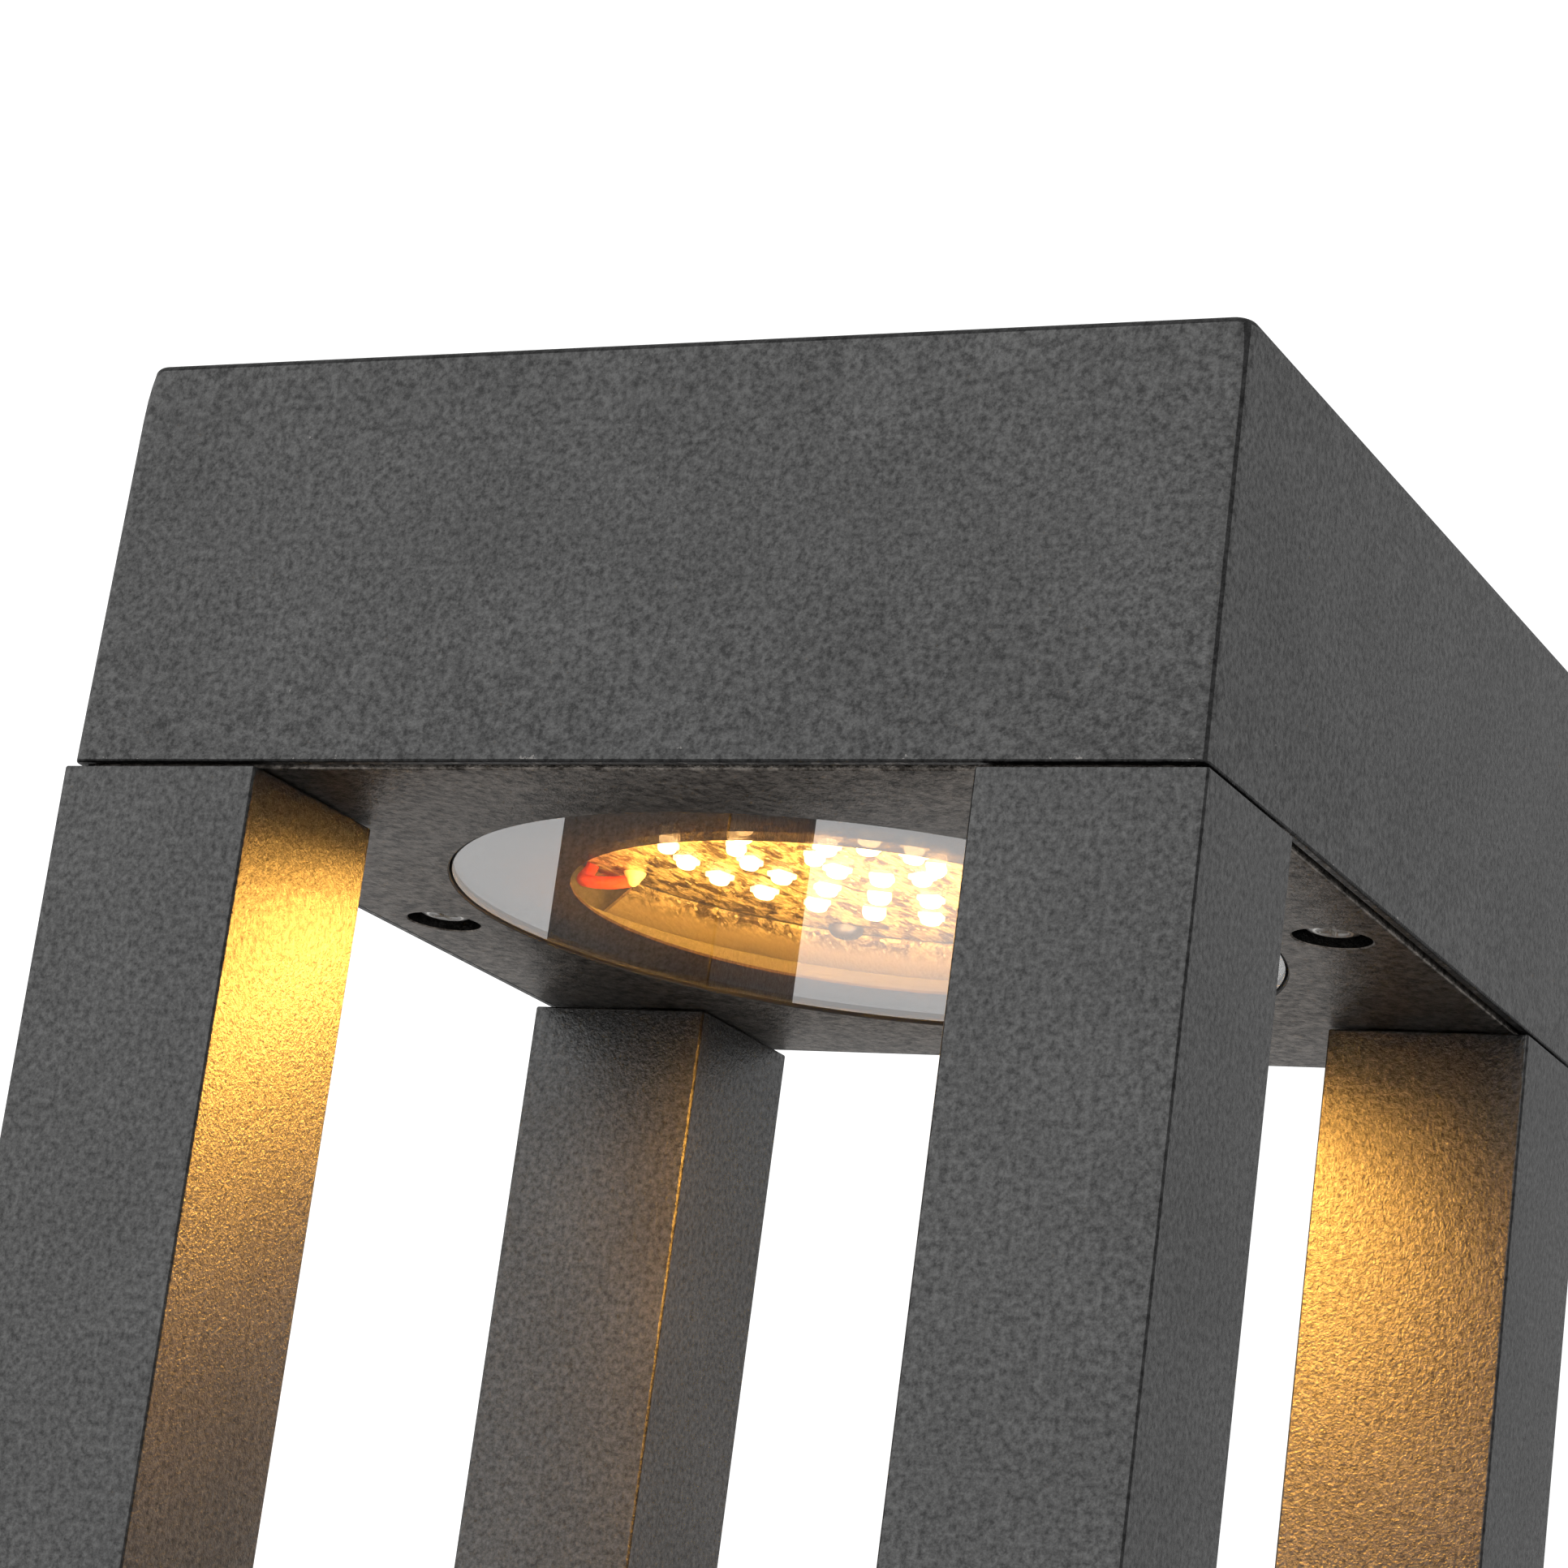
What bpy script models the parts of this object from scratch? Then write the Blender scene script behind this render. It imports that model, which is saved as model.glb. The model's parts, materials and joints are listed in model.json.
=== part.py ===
"""Square four-post bollard light: a flat box head on four slim posts, lit downwards through round glass.

Frame: +Z up, the origin on the ground under the middle of the base plate, -Y is the front.
Lengths are metres. Heights in the head are measured from HEAD_Z, the plane of the posts' top ends.
"""

import math

import bmesh
import bpy
from mathutils import Vector

# ---- driving dimensions ----------------------------------------------------------------------
TOTAL_HEIGHT = 0.800
POST_SPAN = 0.162
POST_WIDTH = 0.030
POST_WALL = 0.0025
POST_EDGE_RADIUS = 0.0005
BASE_THICKNESS = 0.010
FIT_GAP = 0.0003

CAP_HEIGHT = 0.0566
CAP_RIM_LIFT = 0.0007
CAP_HALF = 0.0804
CAP_DRAFT = math.radians(0.75)
CAP_FILLET = 0.0012
CAP_RIM_THICKNESS = 0.0014
CAP_WALL = 0.0034
CAP_ROOF = 0.003

PLATE_HALF = 0.0782
PLATE_THICKNESS = 0.005
PLATE_EDGE = 0.0003

GLASS_RADIUS = 0.0588
GLASS_THICKNESS = 0.003
GLASS_RECESS = 0.00035
WINDOW_RADIUS = 0.0421
MASK_THICKNESS = 0.0004
GASKET_THICKNESS = 0.0008
GASKET_INNER_RADIUS = 0.0515
LEDGE_RADIUS = 0.0500
CHAMBER_RADIUS = 0.0550
CHAMBER_WALL_RADIUS = 0.0620

BOARD_RADIUS = 0.0485
BOARD_THICKNESS = 0.0016
LED_SIZE = (0.0035, 0.0028, 0.0007)
LED_RINGS = ((0.0087, 8, 18.0), (0.0198, 16, 0.0), (0.0300, 22, 0.0))
LED_FRONT = 0.0122
TRACK_WIDTH = 0.0012
TRACK_THICKNESS = 0.0002
SPREADER_THICKNESS = 0.004
REFLECTOR_INNER_RADIUS = 0.0479
REFLECTOR_THICKNESS = 0.0006

BOARD_SCREW_ANGLES = (0, 120, 240)
BOARD_SCREW_CIRCLE = 0.0448
BOARD_SCREW_HOLE = 0.0016
SPREADER_SCREW_ANGLES = (30, 150, 270)
SPREADER_SCREW_CIRCLE = 0.0585
LAMP_WIRES = {"red": 168, "black": 192}
WIRE_PAD_CIRCLE = 0.0452
WIRE_HOLE_CIRCLE = 0.0520
WIRE_HOLE = 0.0022
DRIVER_SCREW_X = 0.0530
DRIVER_SIZE = (0.094, 0.040, 0.022)
DRIVER_EAR_THICKNESS = 0.0025
TERMINAL_HEIGHT = 0.0140

CAP_SCREW_X = 0.0688
COUNTERBORE_RADIUS = 0.00545
COUNTERBORE_DEPTH = 0.0035
CAP_THREAD_RADIUS = 0.0027
CAP_SCREW_SHANK = 0.0024
CAP_SCREW_SINK = 0.0009
POST_SCREW_RADIUS = 0.0027
POST_SCREW_HOLE = 0.0033
POST_SCREW_LENGTH = 0.028
POST_SCREW_HEAD = (0.0050, 0.0050)
BASE_COUNTERBORE = (0.0056, 0.0060)
INSERT_LENGTH = 0.030
ANCHOR_HOLE = 0.0050
ANCHOR_PLACE = 0.036
EARTH_SCREW_XY = (0.0200, 0.0700)
CABLE_RADIUS = 0.0027
CABLE_HOLE = 0.0048
GROMMET_RADIUS = 0.0045
WIRE_RADIUS = 0.0008

CIRCLE_STEPS = 72
CORNER_STEPS = 3
SCREW_STEPS = 12
HOLE_STEPS = 16
PAST = 0.001  # how far a cutter runs past the face that it cuts

# ---- worked-out places -----------------------------------------------------------------------
HEAD_Z = TOTAL_HEIGHT - CAP_RIM_LIFT - CAP_HEIGHT
POST_CENTRE = (POST_SPAN - POST_WIDTH) / 2
POST_INNER_HALF = POST_WIDTH / 2 - POST_WALL
POST_BOTTOM = BASE_THICKNESS + FIT_GAP
PLATE_BOTTOM = HEAD_Z + FIT_GAP
PLATE_TOP = PLATE_BOTTOM + PLATE_THICKNESS
GLASS_BOTTOM = PLATE_BOTTOM + GLASS_RECESS
MASK_BOTTOM = GLASS_BOTTOM + GLASS_THICKNESS + 0.0001
GASKET_BOTTOM = MASK_BOTTOM + MASK_THICKNESS + 0.0002
LEDGE_BOTTOM = GASKET_BOTTOM + GASKET_THICKNESS + 0.0002
LEDGE_TOP = LEDGE_BOTTOM + 0.0024
LED_BOTTOM = HEAD_Z + LED_FRONT
BOARD_BOTTOM = LED_BOTTOM + LED_SIZE[2] + FIT_GAP
SPREADER_BOTTOM = BOARD_BOTTOM + BOARD_THICKNESS + FIT_GAP
SPREADER_TOP = SPREADER_BOTTOM + SPREADER_THICKNESS
CHAMBER_TOP = SPREADER_BOTTOM - FIT_GAP
CAP_BOTTOM = HEAD_Z + CAP_RIM_LIFT
DRIVER_BOTTOM = SPREADER_TOP + FIT_GAP
CABLE_OFFSET = 0.0085
CABLE_XY = POST_CENTRE - CABLE_OFFSET

CORNERS = {
    "front_left": (-1, -1),
    "front_right": (1, -1),
    "back_left": (-1, 1),
    "back_right": (1, 1),
}
CABLE_CORNER = "back_right"


# ---- materials -------------------------------------------------------------------------------
def material(name, colour, roughness, metallic=0.0, transmission=0.0, glow=0.0):
    """A plain Principled material."""
    made = bpy.data.materials.new(name)
    made.use_nodes = True
    shader = made.node_tree.nodes["Principled BSDF"]
    shader.inputs["Base Color"].default_value = (*colour, 1.0)
    shader.inputs["Roughness"].default_value = roughness
    shader.inputs["Metallic"].default_value = metallic
    shader.inputs["Transmission Weight"].default_value = transmission
    shader.inputs["Emission Color"].default_value = (*colour, 1.0)
    shader.inputs["Emission Strength"].default_value = glow
    return made


# ---- mesh helpers ----------------------------------------------------------------------------
def finish_mesh(name, mesh_builder, finish, smooth_angle=35.0):
    """Turns a bmesh into a named object with outward faces and one material."""
    bmesh.ops.remove_doubles(mesh_builder, verts=mesh_builder.verts, dist=1e-7)
    bmesh.ops.recalc_face_normals(mesh_builder, faces=mesh_builder.faces)
    mesh = bpy.data.meshes.new(name)
    mesh_builder.to_mesh(mesh)
    mesh_builder.free()
    mesh.shade_smooth()
    mesh.set_sharp_from_angle(angle=math.radians(smooth_angle))
    mesh.materials.append(finish)
    made = bpy.data.objects.new(name, mesh)
    bpy.context.scene.collection.objects.link(made)
    return made


def rounded_outline(half_x, half_y, radius, centre=(0.0, 0.0), steps=CORNER_STEPS):
    """The corner points of a rectangle with round corners, anticlockwise from its lower right."""
    points = []
    for corner, (side_x, side_y) in enumerate(((1, -1), (1, 1), (-1, 1), (-1, -1))):
        start = math.radians(-90 + 90 * corner)
        for step in range(steps + 1):
            angle = start + math.radians(90) * step / steps
            x = side_x * (half_x - radius) + radius * math.cos(angle)
            y = side_y * (half_y - radius) + radius * math.sin(angle)
            points.append((centre[0] + x, centre[1] + y))
    return points


def ring_of_faces(builder, lower, upper):
    """Side faces between two loops with the same number of points."""
    count = len(lower)
    for i in range(count):
        j = (i + 1) % count
        builder.faces.new((lower[i], lower[j], upper[j], upper[i]))


def loft(name, sections, finish):
    """A closed solid through (height, outline) sections."""
    builder = bmesh.new()
    loops = [[builder.verts.new((x, y, z)) for x, y in outline] for z, outline in sections]
    for lower, upper in zip(loops, loops[1:]):
        ring_of_faces(builder, lower, upper)
    builder.faces.new(loops[0][::-1])
    builder.faces.new(loops[-1])
    return finish_mesh(name, builder, finish)


def tube(name, outer_sections, inner_outline, finish):
    """A straight tube: an outer skin through its sections, and a plain inner skin."""
    builder = bmesh.new()
    outer = [[builder.verts.new((x, y, z)) for x, y in outline] for z, outline in outer_sections]
    ends = (outer_sections[0][0], outer_sections[-1][0])
    inner = [[builder.verts.new((x, y, z)) for x, y in inner_outline] for z in ends]
    for lower, upper in zip(outer, outer[1:]):
        ring_of_faces(builder, lower, upper)
    ring_of_faces(builder, inner[1], inner[0])
    ring_of_faces(builder, inner[0], outer[0])
    ring_of_faces(builder, outer[-1], inner[1])
    return finish_mesh(name, builder, finish)


def turned(name, profile, finish, centre=(0.0, 0.0), steps=CIRCLE_STEPS):
    """A closed (radius, height) profile turned about a vertical axis; flat ends on the axis are one face."""
    builder = bmesh.new()
    rings = []
    for radius, z in profile:
        ring = []
        for step in range(steps if radius else 0):
            angle = 2 * math.pi * step / steps
            x = centre[0] + radius * math.cos(angle)
            y = centre[1] + radius * math.sin(angle)
            ring.append(builder.verts.new((x, y, z)))
        rings.append(ring)
    for lower, upper in zip(rings, rings[1:] + rings[:1]):
        if lower and upper:
            ring_of_faces(builder, lower, upper)
        elif lower or upper:
            builder.faces.new(lower or upper)
    return finish_mesh(name, builder, finish)


def block(name, low, high, finish, bevel=0.0):
    """A box between two corners, with its edges rounded where bevel is given."""
    outline = [(low[0], low[1]), (high[0], low[1]), (high[0], high[1]), (low[0], high[1])]
    made = loft(name, [(low[2], outline), (high[2], outline)], finish)
    if bevel:
        rounding = made.modifiers.new("rounding", "BEVEL")
        rounding.width = bevel
        rounding.segments = 2
        rounding.limit_method = "ANGLE"
    return made


def boolean(target, tool, operation):
    """Cuts the tool out of the target, or joins it on, and hides the tool."""
    modifier = target.modifiers.new(tool.name, "BOOLEAN")
    modifier.operation = operation
    modifier.object = tool
    modifier.solver = "EXACT"
    tool.hide_render = True
    tool.display_type = "WIRE"


def disc(name, centre, radius, low, high, finish, steps=HOLE_STEPS):
    """A plain round cutter or boss."""
    profile = ((0.0, low), (radius, low), (radius, high), (0.0, high))
    return turned(name, profile, finish, centre=centre, steps=steps)


def smooth_path(points, spans=3):
    """Points along a Catmull-Rom curve through the given ones."""
    padded = [points[0]] + list(points) + [points[-1]]
    route = []
    for before, start, end, after in zip(padded, padded[1:], padded[2:], padded[3:]):
        a, b, c, d = (Vector(p) for p in (before, start, end, after))
        slope = c - a
        curve = 2 * a - 5 * b + 4 * c - d
        twist = 3 * b - a - 3 * c + d
        for step in range(spans):
            t = step / spans
            route.append(b + 0.5 * (slope * t + curve * t**2 + twist * t**3))
    route.append(Vector(points[-1]))
    return route


def wire(name, points, radius, finish):
    """A round wire along a smooth route, with closed ends."""
    route = smooth_path(points)
    curve = bpy.data.curves.new(name, "CURVE")
    curve.dimensions = "3D"
    curve.bevel_depth = radius
    curve.bevel_resolution = 2
    curve.use_fill_caps = True
    spline = curve.splines.new("POLY")
    spline.points.add(len(route) - 1)
    for point, place in zip(spline.points, route):
        point.co = (*place, 1.0)
    curve.materials.append(finish)
    made = bpy.data.objects.new(name, curve)
    bpy.context.scene.collection.objects.link(made)
    return made


def on_circle(radius, degrees):
    """The place at an angle on a circle round the middle."""
    angle = math.radians(degrees)
    return radius * math.cos(angle), radius * math.sin(angle)


# ---- fasteners -------------------------------------------------------------------------------
def socket_screw(name, centre, seat, head, shank, length, upward, finish):
    """A cylinder-head screw: seat is where its head bears, and it is driven up or down from there."""
    head_radius, head_height = head
    way = 1.0 if upward else -1.0
    socket_radius = head_radius * 0.5
    profile = (
        (0.0, seat - way * head_height * 0.45),
        (socket_radius, seat - way * head_height * 0.45),
        (socket_radius, seat - way * head_height),
        (head_radius, seat - way * head_height),
        (head_radius, seat),
        (shank, seat),
        (shank, seat + way * length),
        (0.0, seat + way * length),
    )
    return turned(name, profile, finish, centre=centre, steps=SCREW_STEPS)


def cross_screw(name, centre, crown, finish):
    """The pan-head screw that holds the cap on, driven up from below; crown is its lowest height."""
    head_height = COUNTERBORE_DEPTH - CAP_SCREW_SINK - FIT_GAP
    thread_length = 0.0120
    dome_steps = 5
    head_radius = 0.0047
    flat_radius = 0.0022
    profile = [(0.0, crown), (flat_radius, crown)]
    for step in range(1, dome_steps + 1):
        angle = math.radians(90) * step / dome_steps
        radius = flat_radius + (head_radius - flat_radius) * math.sin(angle)
        profile.append((radius, crown + head_height * 0.75 * (1 - math.cos(angle))))
    profile.append((head_radius, crown + head_height))
    profile.append((CAP_SCREW_SHANK, crown + head_height))
    profile.append((CAP_SCREW_SHANK, crown + head_height + thread_length))
    profile.append((0.0, crown + head_height + thread_length))
    made = turned(name, profile, finish, centre=centre, steps=32)
    for number, (half_x, half_y) in enumerate(((0.0019, 0.0005), (0.0005, 0.0019))):
        outline_wide = rounded_outline(half_x, half_y, 0.0001, centre, 1)
        outline_deep = rounded_outline(half_x * 0.55, half_y * 0.8, 0.0001, centre, 1)
        slot = loft(
            f"{name}_slot_{number}",
            [(crown - PAST, outline_wide), (crown, outline_wide), (crown + 0.0016, outline_deep)],
            finish,
        )
        boolean(made, slot, "DIFFERENCE")
    return made


# ---- posts and base --------------------------------------------------------------------------
def make_post(corner, finish):
    """One square tube with small round edges and a fine chamfer at each end."""
    side_x, side_y = CORNERS[corner]
    centre = (side_x * POST_CENTRE, side_y * POST_CENTRE)
    half = POST_WIDTH / 2
    chamfer = 0.0003
    full = rounded_outline(half, half, POST_EDGE_RADIUS, centre)
    end = rounded_outline(half - chamfer, half - chamfer, POST_EDGE_RADIUS - chamfer, centre)
    sections = [
        (POST_BOTTOM, end),
        (POST_BOTTOM + chamfer, full),
        (HEAD_Z - chamfer, full),
        (HEAD_Z, end),
    ]
    inner = rounded_outline(POST_INNER_HALF, POST_INNER_HALF, 0.0004, centre)
    return tube(f"post_{corner}", sections, inner, finish)


def make_insert(corner, end, finish):
    """A threaded end plug inside a post, with one corner left out where the cable passes."""
    side_x, side_y = CORNERS[corner]
    centre_x, centre_y = side_x * POST_CENTRE, side_y * POST_CENTRE
    half = POST_INNER_HALF - FIT_GAP
    sink = 0.001
    low = POST_BOTTOM + sink if end == "bottom" else HEAD_Z - sink - INSERT_LENGTH
    outline = [(-half, -half), (half, -half), (half, half), (-half, half)]
    if corner == CABLE_CORNER:
        notch = -0.0045
        outline = [(notch, -half), (half, -half), (half, half), (-half, half), (-half, notch), (notch, notch)]
    placed = [(centre_x + x, centre_y + y) for x, y in outline]
    made = loft(f"post_{corner}_{end}_insert", [(low, placed), (low + INSERT_LENGTH, placed)], finish)
    bore = disc(
        f"{made.name}_bore",
        (centre_x, centre_y),
        POST_SCREW_RADIUS + FIT_GAP,
        low - PAST,
        low + INSERT_LENGTH + PAST,
        finish,
        steps=20,
    )
    boolean(made, bore, "DIFFERENCE")
    return made


def make_base_plate(finish):
    """The thick floor plate, with anchor holes between the posts and screw holes under them."""
    half = POST_SPAN / 2
    chamfer = 0.0005
    outline = rounded_outline(half, half, POST_EDGE_RADIUS)
    top = rounded_outline(half - chamfer, half - chamfer, POST_EDGE_RADIUS)
    sections = [(0.0, outline), (BASE_THICKNESS - chamfer, outline), (BASE_THICKNESS, top)]
    made = loft("base_plate", sections, finish)
    past_top = BASE_THICKNESS + 2 * PAST
    head_radius, head_depth = BASE_COUNTERBORE
    for corner, (side_x, side_y) in CORNERS.items():
        centre = (side_x * POST_CENTRE, side_y * POST_CENTRE)
        anchor_centre = (side_x * ANCHOR_PLACE, side_y * ANCHOR_PLACE)
        cutters = (
            disc(f"base_through_{corner}", centre, POST_SCREW_HOLE, -PAST, past_top, finish),
            disc(f"base_head_{corner}", centre, head_radius, -PAST, head_depth, finish),
            disc(f"base_anchor_{corner}", anchor_centre, ANCHOR_HOLE, -PAST, past_top, finish),
        )
        for cutter in cutters:
            boolean(made, cutter, "DIFFERENCE")
    entry = disc("base_cable_entry", (CABLE_XY, CABLE_XY), CABLE_HOLE, -PAST, past_top, finish)
    boolean(made, entry, "DIFFERENCE")
    return made


def make_grommet(name, low, height, finish):
    """A rubber sleeve where the feed cable passes through a plate."""
    inner = CABLE_RADIUS + FIT_GAP
    profile = (
        (inner, low),
        (GROMMET_RADIUS, low),
        (GROMMET_RADIUS, low + height),
        (inner, low + height),
    )
    return turned(name, profile, finish, centre=(CABLE_XY, CABLE_XY), steps=20)


# ---- head ------------------------------------------------------------------------------------
def make_head_cap(finish):
    """The drafted cast cap: fillets all round its top, a thin rim below, and two screw bosses."""
    slope = math.tan(CAP_DRAFT)
    top = CAP_BOTTOM + CAP_HEIGHT
    edge = 0.0002
    corner = CAP_FILLET + 0.0003
    sections = [
        (CAP_BOTTOM, rounded_outline(CAP_HALF - edge, CAP_HALF - edge, corner - edge)),
        (CAP_BOTTOM + edge, rounded_outline(CAP_HALF, CAP_HALF, corner)),
    ]
    fillet_steps = 4
    for step in range(fillet_steps + 1):
        angle = math.radians(90) * step / fillet_steps
        z = top - CAP_FILLET * (1 - math.sin(angle))
        inset = CAP_FILLET * (1 - math.cos(angle))
        half = CAP_HALF - slope * (z - CAP_BOTTOM) - inset
        sections.append((z, rounded_outline(half, half, corner - inset)))
    made = loft("head_cap", sections, finish)

    rim_half = CAP_HALF - CAP_RIM_THICKNESS
    ledge = PLATE_TOP + 0.0026
    room_half = CAP_HALF - CAP_WALL
    roof = top - CAP_ROOF
    room_top = room_half - slope * (roof - ledge)
    rim_cut = rounded_outline(rim_half, rim_half, 0.0008)
    lower_cut = loft("cap_rim_room", [(CAP_BOTTOM - PAST, rim_cut), (ledge, rim_cut)], finish)
    upper_cut = loft(
        "cap_room",
        [
            (ledge - PAST, rounded_outline(room_half, room_half, 0.002)),
            (roof, rounded_outline(room_top, room_top, 0.002)),
        ],
        finish,
    )
    boolean(made, lower_cut, "DIFFERENCE")
    boolean(made, upper_cut, "DIFFERENCE")
    boss_foot = PLATE_TOP + FIT_GAP
    boss_radius = 0.0050
    bore_top = boss_foot + 0.014
    rib_half = 0.0015
    boss_profile = (
        (CAP_THREAD_RADIUS, boss_foot),
        (boss_radius, boss_foot),
        (boss_radius, roof + PAST),
        (0.0, roof + PAST),
        (0.0, bore_top),
        (CAP_THREAD_RADIUS, bore_top),
    )
    for side, sign in (("left", -1), ("right", 1)):
        boss = turned(f"cap_boss_{side}", boss_profile, finish, (sign * CAP_SCREW_X, 0.0), 24)
        boolean(made, boss, "UNION")
        rib_ends = sorted((sign * (CAP_SCREW_X + boss_radius * 0.8), sign * (CAP_HALF - CAP_WALL / 2)))
        rib_low = (rib_ends[0], -rib_half, ledge + 0.004)
        rib_high = (rib_ends[1], rib_half, roof + CAP_ROOF / 2)
        boolean(made, block(f"cap_rib_{side}", rib_low, rib_high, finish), "UNION")
    return made


def make_underside_plate(finish):
    """The square plate that carries glass, lamp and posts, with the lamp chamber's wall on top."""
    inset_half = PLATE_HALF - PLATE_EDGE
    sections = [
        (PLATE_BOTTOM, rounded_outline(inset_half, inset_half, 0.0007)),
        (PLATE_BOTTOM + PLATE_EDGE, rounded_outline(PLATE_HALF, PLATE_HALF, 0.0010)),
        (PLATE_TOP, rounded_outline(PLATE_HALF, PLATE_HALF, 0.0010)),
    ]
    made = loft("underside_plate", sections, finish)
    wall_low = PLATE_TOP - PAST
    wall = disc("chamber_wall", (0.0, 0.0), CHAMBER_WALL_RADIUS, wall_low, CHAMBER_TOP, finish, CIRCLE_STEPS)
    boolean(made, wall, "UNION")
    recess = GLASS_RADIUS + FIT_GAP
    lip = 0.0002
    past_bottom = PLATE_BOTTOM - PAST
    past_top = PLATE_TOP + PAST
    profile = (
        (0.0, past_bottom),
        (recess + lip + PAST, past_bottom),
        (recess, PLATE_BOTTOM + lip),
        (recess, LEDGE_BOTTOM),
        (LEDGE_RADIUS, LEDGE_BOTTOM),
        (LEDGE_RADIUS, LEDGE_TOP),
        (CHAMBER_RADIUS, LEDGE_TOP),
        (CHAMBER_RADIUS, CHAMBER_TOP + PAST),
        (0.0, CHAMBER_TOP + PAST),
    )
    chamber = turned("chamber_room", profile, finish)
    boolean(made, chamber, "DIFFERENCE")
    for corner, (side_x, side_y) in CORNERS.items():
        centre = (side_x * POST_CENTRE, side_y * POST_CENTRE)
        hole = disc(f"plate_hole_{corner}", centre, POST_SCREW_HOLE, past_bottom, past_top, finish)
        boolean(made, hole, "DIFFERENCE")
    entry = disc("plate_cable_entry", (CABLE_XY, CABLE_XY), CABLE_HOLE, past_bottom, past_top, finish)
    boolean(made, entry, "DIFFERENCE")
    screw_hole = 0.0029
    for side, sign in (("left", -1), ("right", 1)):
        place = (sign * CAP_SCREW_X, 0.0)
        profile = (
            (0.0, past_bottom),
            (COUNTERBORE_RADIUS, past_bottom),
            (COUNTERBORE_RADIUS, PLATE_BOTTOM + COUNTERBORE_DEPTH),
            (screw_hole, PLATE_BOTTOM + COUNTERBORE_DEPTH),
            (screw_hole, past_top),
            (0.0, past_top),
        )
        boolean(made, turned(f"plate_screw_hole_{side}", profile, finish, place, 40), "DIFFERENCE")
    earth_low = PLATE_TOP - 0.0040
    boolean(made, disc("plate_earth_hole", EARTH_SCREW_XY, 0.0018, earth_low, past_top, finish), "DIFFERENCE")
    bore_low = CHAMBER_TOP - 0.006
    for number, degrees in enumerate(SPREADER_SCREW_ANGLES):
        place = on_circle(SPREADER_SCREW_CIRCLE, degrees)
        bore = disc(f"chamber_screw_hole_{number}", place, 0.0017, bore_low, CHAMBER_TOP + PAST, finish)
        boolean(made, bore, "DIFFERENCE")
    return made


def make_lens_glass(finish):
    """The flat glass disc with a fine ground edge."""
    grind = 0.0003
    top = GLASS_BOTTOM + GLASS_THICKNESS
    profile = (
        (0.0, GLASS_BOTTOM),
        (GLASS_RADIUS - grind, GLASS_BOTTOM),
        (GLASS_RADIUS, GLASS_BOTTOM + grind),
        (GLASS_RADIUS, top - grind),
        (GLASS_RADIUS - grind, top),
        (0.0, top),
    )
    return turned("lens_glass", profile, finish)


def make_flat_ring(name, inner, outer, low, high, finish):
    """A flat round ring."""
    return turned(name, ((inner, low), (outer, low), (outer, high), (inner, high)), finish)


def make_led_board(finish):
    """The round aluminium circuit board, with holes for its three screws."""
    board_top = BOARD_BOTTOM + BOARD_THICKNESS
    made = disc("led_board", (0.0, 0.0), BOARD_RADIUS, BOARD_BOTTOM, board_top, finish, CIRCLE_STEPS)
    for number, degrees in enumerate(BOARD_SCREW_ANGLES):
        place = on_circle(BOARD_SCREW_CIRCLE, degrees)
        low, high = BOARD_BOTTOM - PAST, board_top + PAST
        boolean(made, disc(f"board_hole_{number}", place, BOARD_SCREW_HOLE, low, high, finish), "DIFFERENCE")
    return made


def make_led_array(finish):
    """All light sources as one piece: small packages on the thin copper tracks that join them.

    The rings' faces lie a few hundredths of a millimetre off the link's, so that no faces coincide.
    """
    off = 0.00002
    half_track = TRACK_WIDTH / 2
    track_high = LED_BOTTOM + LED_SIZE[2]
    track_low = track_high - TRACK_THICKNESS
    inner_ring, outer_ring = LED_RINGS[0][0], LED_RINGS[-1][0]
    link = [
        (inner_ring, -half_track),
        (outer_ring, -half_track),
        (outer_ring, half_track),
        (inner_ring, half_track),
    ]
    made = loft("led_array", [(track_low, link), (track_high, link)], finish)
    for number, (radius, count, start) in enumerate(LED_RINGS):
        inner, outer = radius - half_track, radius + half_track
        low, high = track_low - off, track_high + off
        profile = ((inner, low), (outer, low), (outer, high), (inner, high))
        boolean(made, turned(f"led_track_{number}", profile, finish, steps=count * 2), "UNION")
        builder = bmesh.new()
        half_long, half_short = LED_SIZE[0] / 2, LED_SIZE[1] / 2
        for index in range(count):
            angle = math.radians(start + 360.0 * index / count)
            outward = Vector((math.cos(angle), math.sin(angle)))
            along = Vector((-outward.y, outward.x))
            middle = outward * radius
            outline = [
                middle + outward * (a * half_short) + along * (b * half_long)
                for a, b in ((-1, -1), (1, -1), (1, 1), (-1, 1))
            ]
            lower = [builder.verts.new((p.x, p.y, LED_BOTTOM)) for p in outline]
            upper = [builder.verts.new((p.x, p.y, track_high - 2 * off)) for p in outline]
            ring_of_faces(builder, lower, upper)
            builder.faces.new(lower[::-1])
            builder.faces.new(upper)
        packages = finish_mesh(f"led_packages_{number}", builder, finish)
        boolean(made, packages, "UNION")
    return made


def make_reflector(finish):
    """The sloping ring from the board's rim down to the plate's ledge, open where the lamp wires pass."""
    top = BOARD_BOTTOM - FIT_GAP
    foot = LEDGE_TOP + FIT_GAP
    outer = CHAMBER_RADIUS - FIT_GAP
    profile = (
        (REFLECTOR_INNER_RADIUS, top - REFLECTOR_THICKNESS),
        (outer, foot),
        (outer, foot + REFLECTOR_THICKNESS),
        (REFLECTOR_INNER_RADIUS, top),
    )
    made = turned("reflector_ring", profile, finish)
    hole_x, hole_y = on_circle(WIRE_HOLE_CIRCLE, LAMP_WIRES["red"])
    half_opening = hole_y + 0.0035
    low = (-outer - PAST, -half_opening, foot - PAST)
    high = (hole_x + 0.010, half_opening, top + PAST)
    boolean(made, block("reflector_opening", low, high, finish), "DIFFERENCE")
    return made


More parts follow.
